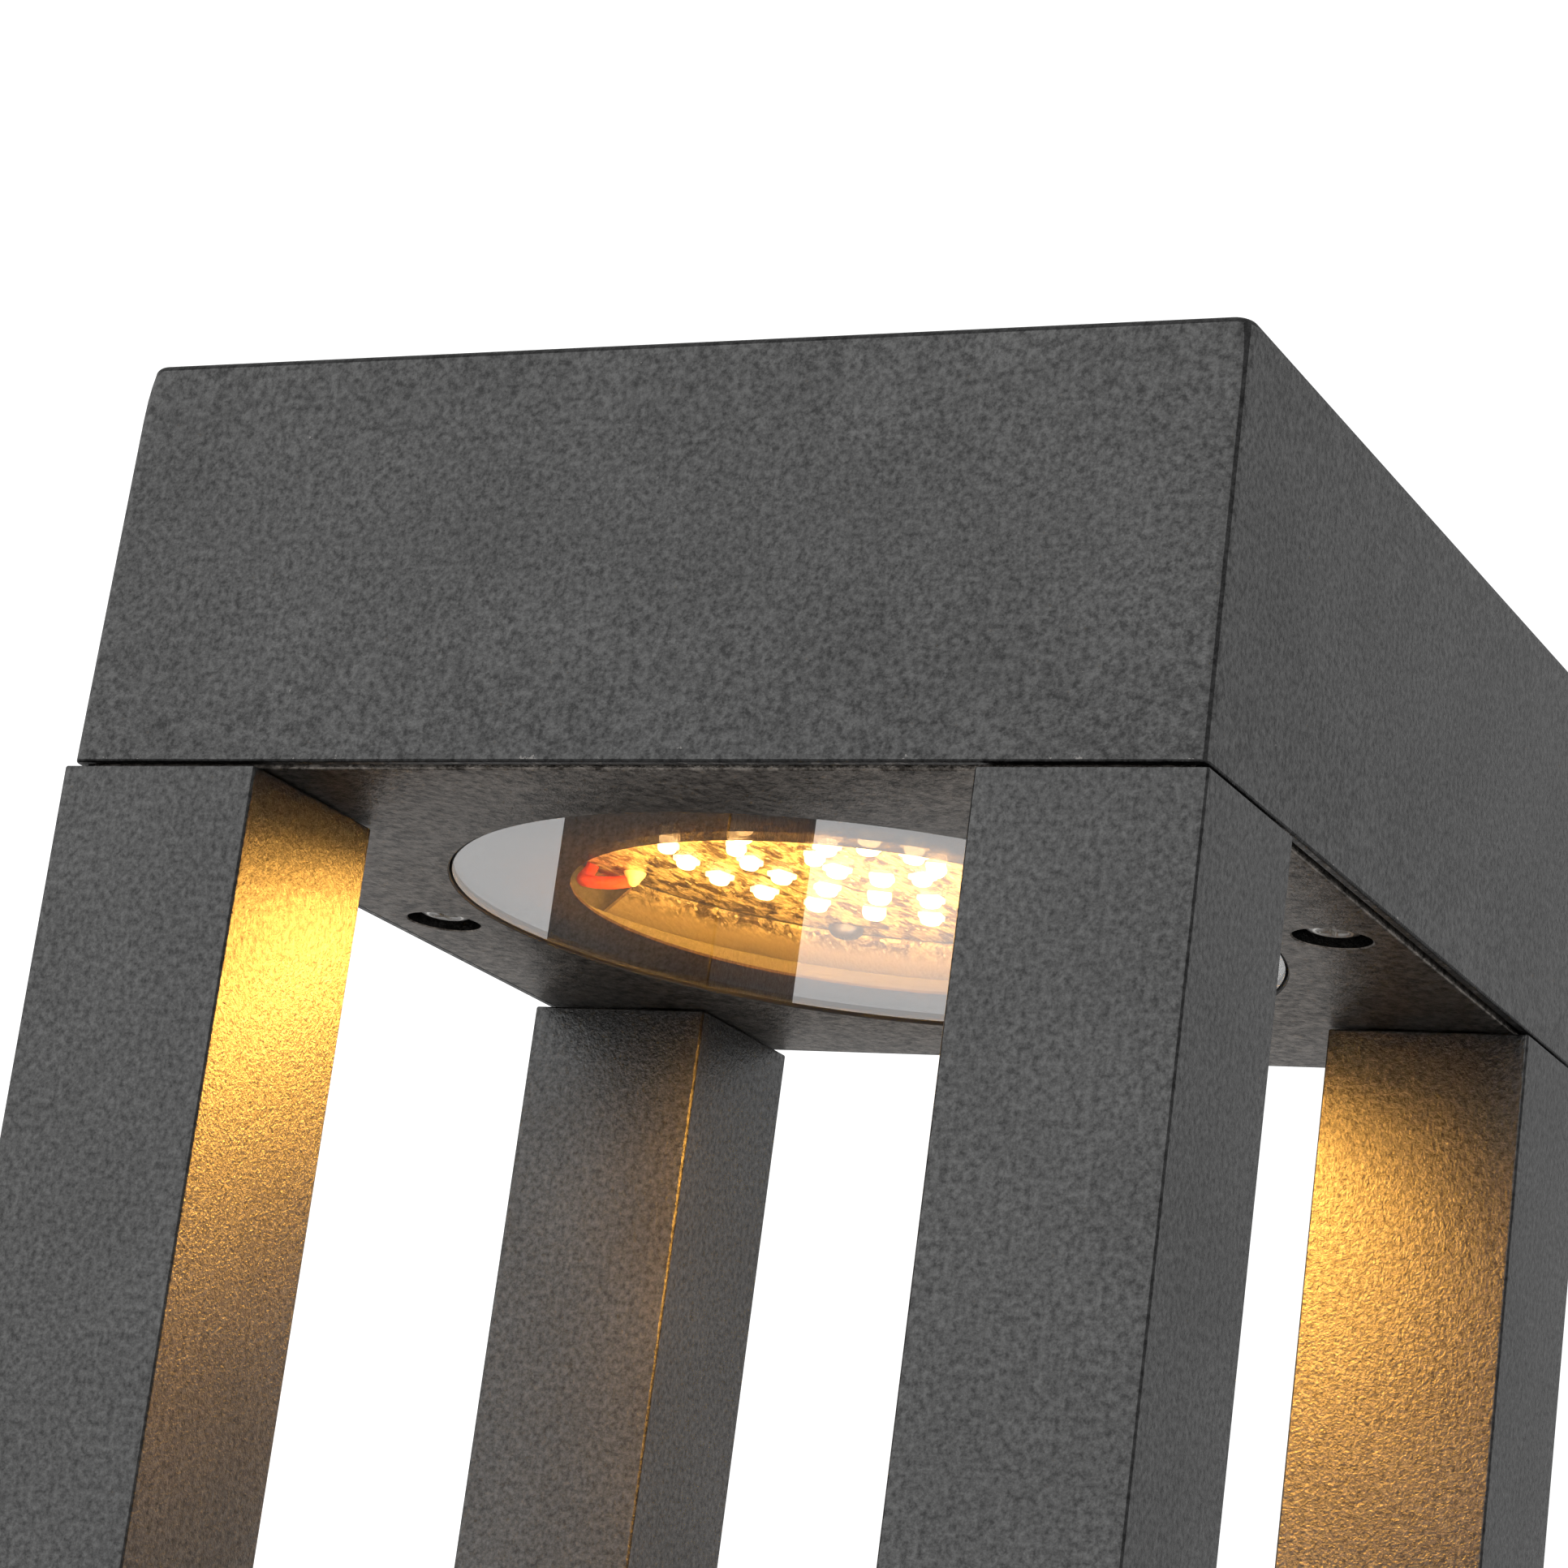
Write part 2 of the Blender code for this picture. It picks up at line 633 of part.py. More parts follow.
def make_heat_spreader(finish):
    """The aluminium disc that closes the lamp chamber and carries board and driver."""
    low, high = SPREADER_BOTTOM, SPREADER_TOP
    made = disc("heat_spreader", (0.0, 0.0), CHAMBER_WALL_RADIUS, low, high, finish, CIRCLE_STEPS)
    holes = [(on_circle(SPREADER_SCREW_CIRCLE, degrees), 0.0019) for degrees in SPREADER_SCREW_ANGLES]
    holes += [(on_circle(BOARD_SCREW_CIRCLE, degrees), BOARD_SCREW_HOLE) for degrees in BOARD_SCREW_ANGLES]
    holes += [(on_circle(WIRE_HOLE_CIRCLE, degrees), WIRE_HOLE) for degrees in LAMP_WIRES.values()]
    holes += [((sign * DRIVER_SCREW_X, 0.0), 0.0016) for sign in (-1, 1)]
    for number, (place, radius) in enumerate(holes):
        hole = disc(f"spreader_hole_{number}", place, radius, low - PAST, high + PAST, finish)
        boolean(made, hole, "DIFFERENCE")
    return made


def make_driver(finish):
    """The potted driver: a long box with a low mounting ear at each end."""
    half_x, half_y = DRIVER_SIZE[0] / 2, DRIVER_SIZE[1] / 2
    low = (-half_x, -half_y, DRIVER_BOTTOM)
    high = (half_x, half_y, DRIVER_BOTTOM + DRIVER_SIZE[2])
    made = block("led_driver", low, high, finish, 0.0012)
    ear_outline = rounded_outline(DRIVER_SCREW_X + 0.0045, 0.008, 0.002)
    ear_top = DRIVER_BOTTOM + DRIVER_EAR_THICKNESS
    ears = loft("driver_ears", [(DRIVER_BOTTOM, ear_outline), (ear_top, ear_outline)], finish)
    boolean(made, ears, "UNION")
    for side, sign in (("left", -1), ("right", 1)):
        place = (sign * DRIVER_SCREW_X, 0.0)
        hole = disc(f"driver_hole_{side}", place, 0.0016, DRIVER_BOTTOM - PAST, ear_top + PAST, finish)
        boolean(made, hole, "DIFFERENCE")
    return made


def make_terminal_block(finish):
    """The three-way screw terminal for the supply, with a screw well over each way."""
    pitch = 0.012
    low = (0.000, 0.0290, DRIVER_BOTTOM)
    high = (3 * pitch, 0.0450, DRIVER_BOTTOM + TERMINAL_HEIGHT)
    made = block("terminal_block", low, high, finish, 0.0008)
    for number in range(3):
        place = (pitch * (number + 0.5), (low[1] + high[1]) / 2)
        well = disc(f"terminal_well_{number}", place, 0.0026, high[2] - 0.005, high[2] + PAST, finish)
        boolean(made, well, "DIFFERENCE")
    return made


# ---- wires and cable -------------------------------------------------------------------------
def make_feed_cable(finish):
    """The supply cable: up inside the back right post, over the plate and into the terminal."""
    lift = DRIVER_BOTTOM + 0.0070
    bend_low = PLATE_TOP + 0.008
    route = (
        (CABLE_XY, CABLE_XY, 0.0010),
        (CABLE_XY, CABLE_XY, 0.25),
        (CABLE_XY, CABLE_XY, 0.50),
        (CABLE_XY, CABLE_XY, bend_low - 0.012),
        (CABLE_XY, CABLE_XY, bend_low),
        (CABLE_XY - 0.001, CABLE_XY - 0.001, bend_low + 0.008),
        (CABLE_XY - 0.006, CABLE_XY - 0.007, lift - 0.001),
        (0.0480, 0.0410, lift),
        (0.0420, 0.0372, lift),
        (0.0366, 0.0370, lift),
    )
    wire("feed_cable", route, CABLE_RADIUS, finish)


def make_lamp_wire(name, degrees, finish):
    """One wire from its joint on the board, up through the heat spreader and over to the driver's end."""
    side = 1 if degrees < 180 else -1
    pad_x, pad_y = on_circle(WIRE_PAD_CIRCLE, degrees)
    hole_x, hole_y = on_circle(WIRE_HOLE_CIRCLE, degrees)
    wire_low = BOARD_BOTTOM - 0.0013
    driver_x = -DRIVER_SIZE[0] / 2 - 0.0004
    route = (
        (pad_x, pad_y, wire_low),
        (pad_x - 0.0030, pad_y, wire_low - 0.0002),
        (hole_x + 0.0002, hole_y, BOARD_BOTTOM + 0.0005),
        (hole_x, hole_y, SPREADER_BOTTOM + 0.0010),
        (hole_x, hole_y, SPREADER_TOP + 0.0020),
        (hole_x - 0.0005, hole_y - side * 0.0020, DRIVER_BOTTOM + 0.0100),
        (driver_x - 0.0018, side * 0.0060, DRIVER_BOTTOM + 0.0120),
        (driver_x, side * 0.0060, DRIVER_BOTTOM + 0.0120),
    )
    wire(f"led_wire_{name}", route, WIRE_RADIUS, finish)


def make_supply_wire(name, x, finish):
    """One short wire from the terminal to the driver's side."""
    route = (
        (x, 0.0286, DRIVER_BOTTOM + 0.0060),
        (x, 0.0272, DRIVER_BOTTOM + 0.0060),
        (x, 0.0220, DRIVER_BOTTOM + 0.0080),
        (x, 0.0204, DRIVER_BOTTOM + 0.0080),
    )
    wire(f"supply_wire_{name}", route, WIRE_RADIUS, finish)


def make_earth_wire(finish):
    """The earth wire from the terminal down to its screw on the plate."""
    route = (
        (0.0300, 0.0454, DRIVER_BOTTOM + 0.0050),
        (0.0300, 0.0472, DRIVER_BOTTOM + 0.0050),
        (0.0282, 0.0510, DRIVER_BOTTOM + 0.0068),
        (0.0245, 0.0550, DRIVER_BOTTOM + 0.0068),
        (0.0232, 0.0605, DRIVER_BOTTOM + 0.0045),
        (0.0225, 0.0645, SPREADER_BOTTOM),
        (0.0215, 0.0655, PLATE_TOP + 0.0040),
        (EARTH_SCREW_XY[0], EARTH_SCREW_XY[1] - 0.0049, PLATE_TOP + 0.0016),
    )
    wire("earth_wire", route, WIRE_RADIUS, finish)


# ---- the object ------------------------------------------------------------------------------
def build():
    """Makes every piece."""
    for leftover in list(bpy.data.objects):
        bpy.data.objects.remove(leftover, do_unlink=True)

    coating = material("anthracite_powder_coat", (0.085, 0.086, 0.088), 0.55, 0.0)
    plate_coating = material("plate_powder_coat", (0.090, 0.087, 0.084), 0.55, 0.0)
    glass = material("clear_glass", (0.95, 0.97, 0.96), 0.02, 0.0, transmission=1.0)
    black_film = material("black_mask", (0.015, 0.013, 0.012), 0.35)
    rubber = material("black_rubber", (0.02, 0.02, 0.02), 0.8)
    board_finish = material("board_lacquer", (0.55, 0.50, 0.40), 0.4)
    reflector_finish = material("hammered_reflector", (0.80, 0.70, 0.50), 0.3, 1.0)
    led_finish = material("warm_led", (1.0, 0.80, 0.50), 0.3, glow=6.0)
    aluminium = material("raw_aluminium", (0.70, 0.71, 0.72), 0.35, 1.0)
    steel = material("zinc_steel", (0.55, 0.55, 0.53), 0.3, 1.0)
    driver_plastic = material("driver_case", (0.82, 0.82, 0.80), 0.5)
    terminal_plastic = material("terminal_plastic", (0.75, 0.74, 0.70), 0.5)
    cable_jacket = material("cable_jacket", (0.02, 0.02, 0.022), 0.6)
    red = material("red_insulation", (0.62, 0.03, 0.02), 0.45)
    black = material("black_insulation", (0.02, 0.02, 0.02), 0.45)
    brown = material("brown_insulation", (0.16, 0.06, 0.02), 0.45)
    blue = material("blue_insulation", (0.02, 0.12, 0.45), 0.45)
    green = material("earth_insulation", (0.20, 0.45, 0.04), 0.45)

    make_base_plate(coating)
    for corner, (side_x, side_y) in CORNERS.items():
        centre = (side_x * POST_CENTRE, side_y * POST_CENTRE)
        make_post(corner, coating)
        make_insert(corner, "bottom", aluminium)
        make_insert(corner, "top", aluminium)
        socket_screw(
            f"post_{corner}_bottom_screw",
            centre,
            BASE_COUNTERBORE[1] - FIT_GAP,
            POST_SCREW_HEAD,
            POST_SCREW_RADIUS,
            POST_SCREW_LENGTH,
            True,
            steel,
        )
        socket_screw(
            f"post_{corner}_top_screw",
            centre,
            PLATE_TOP + FIT_GAP,
            POST_SCREW_HEAD,
            POST_SCREW_RADIUS,
            POST_SCREW_LENGTH,
            False,
            steel,
        )

    make_head_cap(coating)
    make_underside_plate(plate_coating)
    seal_half = PLATE_HALF - 0.0002
    seal_outer = rounded_outline(seal_half, seal_half, 0.0010)
    seal_inner_half = seal_half - 0.0018
    seal_inner = rounded_outline(seal_inner_half, seal_inner_half, 0.0010)
    seal_low = PLATE_TOP + FIT_GAP
    tube("cap_seal", [(seal_low, seal_outer), (seal_low + 0.0020, seal_outer)], seal_inner, rubber)
    for side, sign in (("left", -1), ("right", 1)):
        cross_screw(f"cap_screw_{side}", (sign * CAP_SCREW_X, 0.0), PLATE_BOTTOM + CAP_SCREW_SINK, steel)

    make_lens_glass(glass)
    mask_radius = GLASS_RADIUS - FIT_GAP
    mask_top = MASK_BOTTOM + MASK_THICKNESS
    make_flat_ring("lens_mask", WINDOW_RADIUS, mask_radius, MASK_BOTTOM, mask_top, black_film)
    gasket_top = GASKET_BOTTOM + GASKET_THICKNESS
    make_flat_ring("lens_gasket", GASKET_INNER_RADIUS, mask_radius, GASKET_BOTTOM, gasket_top, rubber)

    make_led_board(board_finish)
    make_led_array(led_finish)
    make_reflector(reflector_finish)
    make_heat_spreader(aluminium)
    for number, degrees in enumerate(BOARD_SCREW_ANGLES, 1):
        place = on_circle(BOARD_SCREW_CIRCLE, degrees)
        seat = BOARD_BOTTOM - FIT_GAP
        socket_screw(f"board_screw_{number}", place, seat, (0.0027, 0.0018), 0.0012, 0.0055, True, steel)
    for number, degrees in enumerate(SPREADER_SCREW_ANGLES, 1):
        place = on_circle(SPREADER_SCREW_CIRCLE, degrees)
        seat = SPREADER_TOP + FIT_GAP
        socket_screw(f"spreader_screw_{number}", place, seat, (0.0030, 0.0024), 0.0014, 0.0090, False, steel)
    earth_seat = PLATE_TOP + FIT_GAP
    socket_screw("earth_screw", EARTH_SCREW_XY, earth_seat, (0.0035, 0.0028), 0.0014, 0.0036, False, steel)

    make_driver(driver_plastic)
    for side, sign in (("left", -1), ("right", 1)):
        seat = DRIVER_BOTTOM + DRIVER_EAR_THICKNESS + FIT_GAP
        place = (sign * DRIVER_SCREW_X, 0.0)
        socket_screw(f"driver_screw_{side}", place, seat, (0.0030, 0.0022), 0.0012, 0.0060, False, steel)
    make_terminal_block(terminal_plastic)

    make_grommet("head_cable_grommet", PLATE_BOTTOM + 0.0002, PLATE_THICKNESS + 0.0015, rubber)
    make_grommet("base_cable_grommet", 0.0005, BASE_THICKNESS - 0.0008, rubber)
    make_feed_cable(cable_jacket)
    make_lamp_wire("red", LAMP_WIRES["red"], red)
    make_lamp_wire("black", LAMP_WIRES["black"], black)
    make_supply_wire("live", 0.006, brown)
    make_supply_wire("neutral", 0.018, blue)
    make_earth_wire(green)


build()
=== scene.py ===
import json
import math

import bmesh
import bpy
from mathutils import Matrix, Vector


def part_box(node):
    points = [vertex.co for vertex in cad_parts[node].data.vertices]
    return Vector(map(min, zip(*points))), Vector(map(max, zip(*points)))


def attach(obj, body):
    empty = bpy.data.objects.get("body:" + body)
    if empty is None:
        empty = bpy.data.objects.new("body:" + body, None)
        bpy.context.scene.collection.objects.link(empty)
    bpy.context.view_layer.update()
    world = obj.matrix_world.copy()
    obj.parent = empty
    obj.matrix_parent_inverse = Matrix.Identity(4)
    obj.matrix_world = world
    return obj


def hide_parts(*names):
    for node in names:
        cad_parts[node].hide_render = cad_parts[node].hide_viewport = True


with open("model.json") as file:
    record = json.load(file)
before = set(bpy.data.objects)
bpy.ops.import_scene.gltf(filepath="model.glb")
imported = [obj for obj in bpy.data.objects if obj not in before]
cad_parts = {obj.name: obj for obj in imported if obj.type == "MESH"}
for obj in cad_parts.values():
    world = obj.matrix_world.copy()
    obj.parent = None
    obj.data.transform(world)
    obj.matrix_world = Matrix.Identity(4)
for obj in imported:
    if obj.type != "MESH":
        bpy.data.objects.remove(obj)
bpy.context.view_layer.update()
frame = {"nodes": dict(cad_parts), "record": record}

# ---- measures read from the frame ------------------------------------------------------------
CAP_LOW, CAP_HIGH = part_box("head_cap")
PLATE_LOW, PLATE_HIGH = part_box("underside_plate")
GLASS_LOW, GLASS_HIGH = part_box("lens_glass")
MASK_LOW, MASK_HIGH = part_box("lens_mask")
BOARD_LOW, BOARD_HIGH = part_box("led_board")
ARRAY_LOW, ARRAY_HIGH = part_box("led_array")
BASE_LOW, BASE_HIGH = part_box("base_plate")
GASKET_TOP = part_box("lens_gasket")[1][2]
WIRE_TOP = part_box("led_wire_red")[1][2]
DRIVER_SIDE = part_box("led_driver")[0][0]

# ---- the same dimensions as the CAD model, in metres -----------------------------------------
FIT_GAP = 0.0003
PAST = 0.001  # how far a cutter runs past the face that it cuts
POST_WIDTH = 0.030
POST_WALL = 0.0025
POST_EDGE_RADIUS = 0.0005
CAP_DRAFT = math.radians(0.75)
CAP_FILLET = 0.0012
CAP_RIM_THICKNESS = 0.0014
CAP_WALL = 0.0034
CAP_ROOF = 0.003
PLATE_THICKNESS = 0.005
PLATE_EDGE = 0.0003
WINDOW_RADIUS = 0.0421
LEDGE_RADIUS = 0.0500
LEDGE_GAP = 0.0002
LEDGE_THICKNESS = 0.0024
CHAMBER_RADIUS = 0.0550
CHAMBER_WALL_RADIUS = 0.0620
CAP_SCREW_X = 0.0688
CAP_SCREW_SHANK = 0.0024
CAP_SCREW_SINK = 0.0009
COUNTERBORE_RADIUS = 0.00545
COUNTERBORE_DEPTH = 0.0035
LED_RINGS = ((0.0087, 8, 18.0), (0.0198, 16, 0.0), (0.0300, 22, 0.0))
LED_HALF = (0.0014, 0.00175)
REFLECTOR_INNER_RADIUS = 0.0479
REFLECTOR_THICKNESS = 0.0006
WIRE_PAD_CIRCLE = 0.0452
WIRE_HOLE_CIRCLE = 0.0520
RED_WIRE_ANGLE = 168
BLACK_WIRE_ANGLE = 192
BOARD_SCREW_ANGLES = (0, 120, 240)
BOARD_SCREW_CIRCLE = 0.0448
BOARD_SCREW_HOLE = 0.0016
ANCHOR_HOLE = 0.0050
ANCHOR_PLACE = 0.036
CABLE_HOLE = 0.0048
CABLE_OFFSET = 0.0085
BASE_COUNTERBORE = (0.0056, 0.006)
POST_SCREW_HOLE = 0.0033

# ---- finer measures of what is seen, in metres -----------------------------------------------
CAP_CORNER = 0.0015
CAP_TOP_CORNER = 0.0027
CAP_CORNER_STEPS = ((0.0080, CAP_CORNER), (0.0050, 0.0017), (0.0030, 0.0021))
CAP_RIM_EDGE = 0.00035
CAP_INNER_CORNER = 0.0008
CAP_SEAL_ROOM = 0.0026
CAP_SCREW_HOLE = 0.0029
CAP_SCREW_HEAD = 0.0047
CAP_SCREW_FLAT = 0.0024
CAP_SCREW_CROSS = (0.0021, 0.00045)
# radii of the ring round the screw crown that gets bright steel as a painted glint
CAP_SCREW_GLINT_RING = (0.0023, 0.0027)
BOARD_SCREW_SHANK = 0.0012
BOARD_SCREW_CROSS = (0.0013, 0.00028)
LED_DOME = (0.00138, 0.00165, 0.00090)
WIRE_RADIUS = 0.00095
WIRE_SPACING = 0.0060
SOLDER_PROFILE = ((0.0017, 0.00003), (0.0016, 0.0004), (0.0012, 0.0010), (0.0008, 0.0017), (0.0003, 0.0021))
SCUFF_HEIGHT = 0.0012
FLOOR_HALF = 12.0
FLOOR_DROP = 0.0002
ROUND_STEPS = 256

# ---- camera and light ------------------------------------------------------------------------
CAMERA_PLACE = (0.2668, -0.5456, 0.6028)
CAMERA_HEADING = math.radians(27.40)
CAMERA_CLIMB = math.radians(14.73)
CAMERA_ROLL = math.radians(7.68)
CAMERA_LENS = 101.9
WORLD_LEFT = 1.35
WORLD_RIGHT = 0.80
LED_COLOUR = (1.0, 0.46, 0.07)
LED_POWER = 0.0175
LED_SPREAD = math.radians(170)
LAMP_LEAN = math.radians(6)
LIGHT_EXIT_RADIUS = 0.0457
CHAMBER_FILL_POWER = 0.28
BOARD_GLOW_POWER = 0.06
LED_LIGHT_SIZE = 0.0026
LIGHT_GAP = 0.0002


# ---- node helpers ----------------------------------------------------------------------------
def new_material(name):
    """A node material, its node tree and its Principled shader."""
    made = bpy.data.materials.new(name)
    made.use_nodes = True
    tree = made.node_tree
    return made, tree, tree.nodes["Principled BSDF"]


def node(tree, kind, inputs=None, **settings):
    """A node with its settings; inputs maps a socket's name or number to a value or an output."""
    made = tree.nodes.new(kind)
    for key, value in settings.items():
        setattr(made, key, value)
    for socket, value in (inputs or {}).items():
        if isinstance(value, bpy.types.NodeSocket):
            tree.links.new(value, made.inputs[socket])
        else:
            made.inputs[socket].default_value = value
    return made


def place(tree, stretch=(1.0, 1.0, 1.0)):
    """The object's own coordinates in metres, stretched per axis."""
    coordinates = node(tree, "ShaderNodeTexCoord").outputs["Object"]
    if stretch == (1.0, 1.0, 1.0):
        return coordinates
    return node(tree, "ShaderNodeMapping", {"Vector": coordinates, "Scale": stretch}).outputs["Vector"]


def noise(tree, grain, detail=2.0, roughness=0.5, stretch=(1.0, 1.0, 1.0), distortion=0.0):
    """Noise whose features are about grain metres wide, from 0 to 1."""
    inputs = {
        "Vector": place(tree, stretch),
        "Scale": 1.0 / grain,
        "Detail": detail,
        "Roughness": roughness,
        "Distortion": distortion,
    }
    return node(tree, "ShaderNodeTexNoise", inputs).outputs["Fac"]


def ramp(tree, factor, stops):
    """A colour ramp through (position, grey or colour) stops."""
    made = node(tree, "ShaderNodeValToRGB", {"Fac": factor})
    elements = made.color_ramp.elements
    while len(elements) < len(stops):
        elements.new(1.0)
    for element, (position, colour) in zip(elements, stops):
        if not isinstance(colour, tuple):
            colour = (colour, colour, colour)
        element.position = position
        element.color = (*colour, 1.0)
    return made.outputs["Color"]


def mix(tree, kind, factor, first, second):
    """Two colours mixed."""
    made = node(tree, "ShaderNodeMix", data_type="RGBA", blend_type=kind)
    for index, value in ((0, factor), (6, first), (7, second)):
        if isinstance(value, bpy.types.NodeSocket):
            tree.links.new(value, made.inputs[index])
        else:
            made.inputs[index].default_value = (*value, 1.0) if isinstance(value, tuple) else value
    return made.outputs[2]


def remap(tree, value, start, end, low, high):
    """Maps start to end onto low to high."""
    inputs = {"Value": value, "From Min": start, "From Max": end, "To Min": low, "To Max": high}
    return node(tree, "ShaderNodeMapRange", inputs).outputs["Result"]


def spread(tree, factor, low, high):
    """Maps 0 to 1 onto low to high."""
    return remap(tree, factor, 0.0, 1.0, low, high)


def height_of(tree):
    """The height of the shaded point in metres."""
    return node(tree, "ShaderNodeSeparateXYZ", {"Vector": place(tree)}).outputs["Z"]


def bump(tree, height, strength, depth):
    """A bump whose full height is depth metres."""
    inputs = {"Height": height, "Strength": strength, "Distance": depth}
    return node(tree, "ShaderNodeBump", inputs).outputs["Normal"]


def wire_up(tree, shader, **outputs):
    """Links outputs to the shader's sockets, by names with _ for spaces."""
    for socket, output in outputs.items():
        tree.links.new(output, shader.inputs[socket.replace("_", " ")])


# ---- materials -------------------------------------------------------------------------------
def powder_coat(name, dark, light, grain_size=0.0010, worn_from=None):
    """Fine-textured anthracite coating with metal pigment, mottled at about half the grain size.

    Where worn_from is given, a few small pale scuffs lie along the edge at that height.
    """
    made, tree, shader = new_material(name)
    shader.inputs["Metallic"].default_value = 1.0
    shader.inputs["Specular Tint"].default_value = (0.6, 0.6, 0.6, 1.0)
    grain = noise(tree, grain_size, 4.0, 0.78)
    clouds = noise(tree, 0.018, 3.0, 0.55)
    colour = ramp(tree, grain, ((0.36, dark), (0.64, light)))
    colour = mix(tree, "MULTIPLY", 1.0, colour, ramp(tree, clouds, ((0.3, 0.90), (0.7, 1.06))))
    if worn_from is not None:
        band = remap(tree, height_of(tree), worn_from, worn_from + SCUFF_HEIGHT, 0.16, 0.0)
        chips = node(tree, "ShaderNodeMath", {0: noise(tree, 0.0022, 4.0, 0.75), 1: band}, operation="ADD")
        scuffed = ramp(tree, chips.outputs[0], ((0.72, 0.0), (0.75, 1.0)))
        colour = mix(tree, "MIX", scuffed, colour, (0.26, 0.25, 0.24))
    wire_up(
        tree,
        shader,
        Base_Color=colour,
        Roughness=spread(tree, noise(tree, 0.0009, 2.0, 0.55), 0.33, 0.43),
        Normal=bump(tree, noise(tree, 0.0004, 2.0, 0.6), 1.0, 0.00013),
    )
    return made


def clear_glass(name, lets_light_through):
    """Polished flat glass with a little dust and faint wipe marks.

    Where lets_light_through is set, the lamp's light goes straight through it.
    """
    made, tree, shader = new_material(name)
    shader.inputs["Transmission Weight"].default_value = 1.0
    shader.inputs["IOR"].default_value = 1.5
    dust = noise(tree, 0.0007, 1.0, 0.5)
    wipes = noise(tree, 0.004, 3.0, 0.6, (1.0, 0.25, 1.0), 1.5)
    wire_up(
        tree,
        shader,
        Base_Color=ramp(tree, wipes, ((0.3, (0.96, 0.97, 0.965)), (0.7, (0.985, 0.99, 0.985)))),
        Roughness=ramp(tree, dust, ((0.70, 0.0), (0.80, 0.06))),
        Normal=bump(tree, wipes, 0.02, 0.00002),
    )
    if lets_light_through:
        is_shadow = node(tree, "ShaderNodeLightPath").outputs["Is Shadow Ray"]
        open_way = node(tree, "ShaderNodeBsdfTransparent").outputs["BSDF"]
        either = node(tree, "ShaderNodeMixShader", {0: is_shadow, 1: shader.outputs["BSDF"], 2: open_way})
        tree.links.new(either.outputs["Shader"], tree.nodes["Material Output"].inputs["Surface"])
    return made


def black_film():
    """The smooth black border printed behind the glass."""
    made, tree, shader = new_material("mask_black")
    shader.inputs["Specular IOR Level"].default_value = 0.0
    cloud = noise(tree, 0.006, 3.0, 0.6)
    wire_up(
        tree,
        shader,
        Base_Color=ramp(tree, cloud, ((0.3, (0.020, 0.013, 0.008)), (0.7, (0.030, 0.021, 0.013)))),
        Roughness=spread(tree, noise(tree, 0.0012), 0.35, 0.5),
        Normal=bump(tree, noise(tree, 0.0006), 0.1, 0.00002),
    )
    return made


def hammered_metal(name, dark, bright, fleck, smooth_below):
    """Hammered bright metal: dark and bright blotches, fine streaks and flecks, dying out below a height."""
    made, tree, shader = new_material(name)
    shader.inputs["Metallic"].default_value = 0.6
    blotches = noise(tree, 0.0030, 5.0, 0.75, (1.0, 0.5, 1.0), 0.8)
    streaks = noise(tree, 0.00060, 2.0, 0.6, (1.0, 0.3, 1.0))
    flecks = noise(tree, 0.0008, 1.0, 0.5, (1.0, 0.35, 1.0))
    colour = ramp(tree, blotches, ((0.44, dark), (0.54, bright)))
    colour = mix(tree, "MULTIPLY", 1.0, colour, ramp(tree, streaks, ((0.36, 0.5), (0.62, 1.25))))
    colour = mix(tree, "MIX", ramp(tree, flecks, ((0.66, 0.0), (0.71, 1.0))), colour, fleck)
    plain = remap(tree, height_of(tree), smooth_below, smooth_below + 0.0015, 1.0, 0.0)
    smooth = tuple(0.9 * high for high in bright)
    wire_up(
        tree,
        shader,
        Base_Color=mix(tree, "MIX", plain, colour, smooth),
        Roughness=spread(tree, blotches, 0.25, 0.5),
        Normal=bump(tree, streaks, 0.7, 0.0003),
    )
    return made


def bare_metal(name, tone, roughness, grain=0.0005):
    """Bare metal with fine machining variation."""
    made, tree, shader = new_material(name)
    shader.inputs["Metallic"].default_value = 1.0
    lines = noise(tree, grain, 3.0, 0.6, (1.0, 1.0, 0.2))
    dark = tuple(c * 0.85 for c in tone)
    wire_up(
        tree,
        shader,
        Base_Color=ramp(tree, lines, ((0.3, dark), (0.7, tone))),
        Roughness=spread(tree, lines, roughness - 0.08, roughness + 0.1),
        Normal=bump(tree, lines, 0.3, 0.00002),
    )
    return made


def moulded(name, tone, roughness=0.5, grain=0.0008):
    """Moulded plastic or rubber with a fine matt grain."""
    made, tree, shader = new_material(name)
    pebble = noise(tree, grain, 2.0, 0.5)
    dark = tuple(c * 0.88 for c in tone)
    wire_up(
        tree,
        shader,
        Base_Color=ramp(tree, pebble, ((0.3, dark), (0.7, tone))),
        Roughness=spread(tree, pebble, roughness - 0.06, roughness + 0.08),
        Normal=bump(tree, pebble, 0.3, 0.00003),
    )
    return made


def lit(name, strength):
    """The warm glow of a light source."""
    made, tree, shader = new_material(name)
    shimmer = noise(tree, 0.0008, 1.0, 0.5)
    shader.inputs["Emission Strength"].default_value = strength
    wire_up(
        tree,
        shader,
        Base_Color=ramp(tree, shimmer, ((0.3, (0.95, 0.80, 0.45)), (0.7, (1.0, 0.86, 0.55)))),
        Emission_Color=ramp(tree, shimmer, ((0.3, (1.0, 0.76, 0.40)), (0.7, (1.0, 0.84, 0.52)))),
        Roughness=spread(tree, shimmer, 0.2, 0.35),
    )
    made.cycles.emission_sampling = "NONE"
    return made


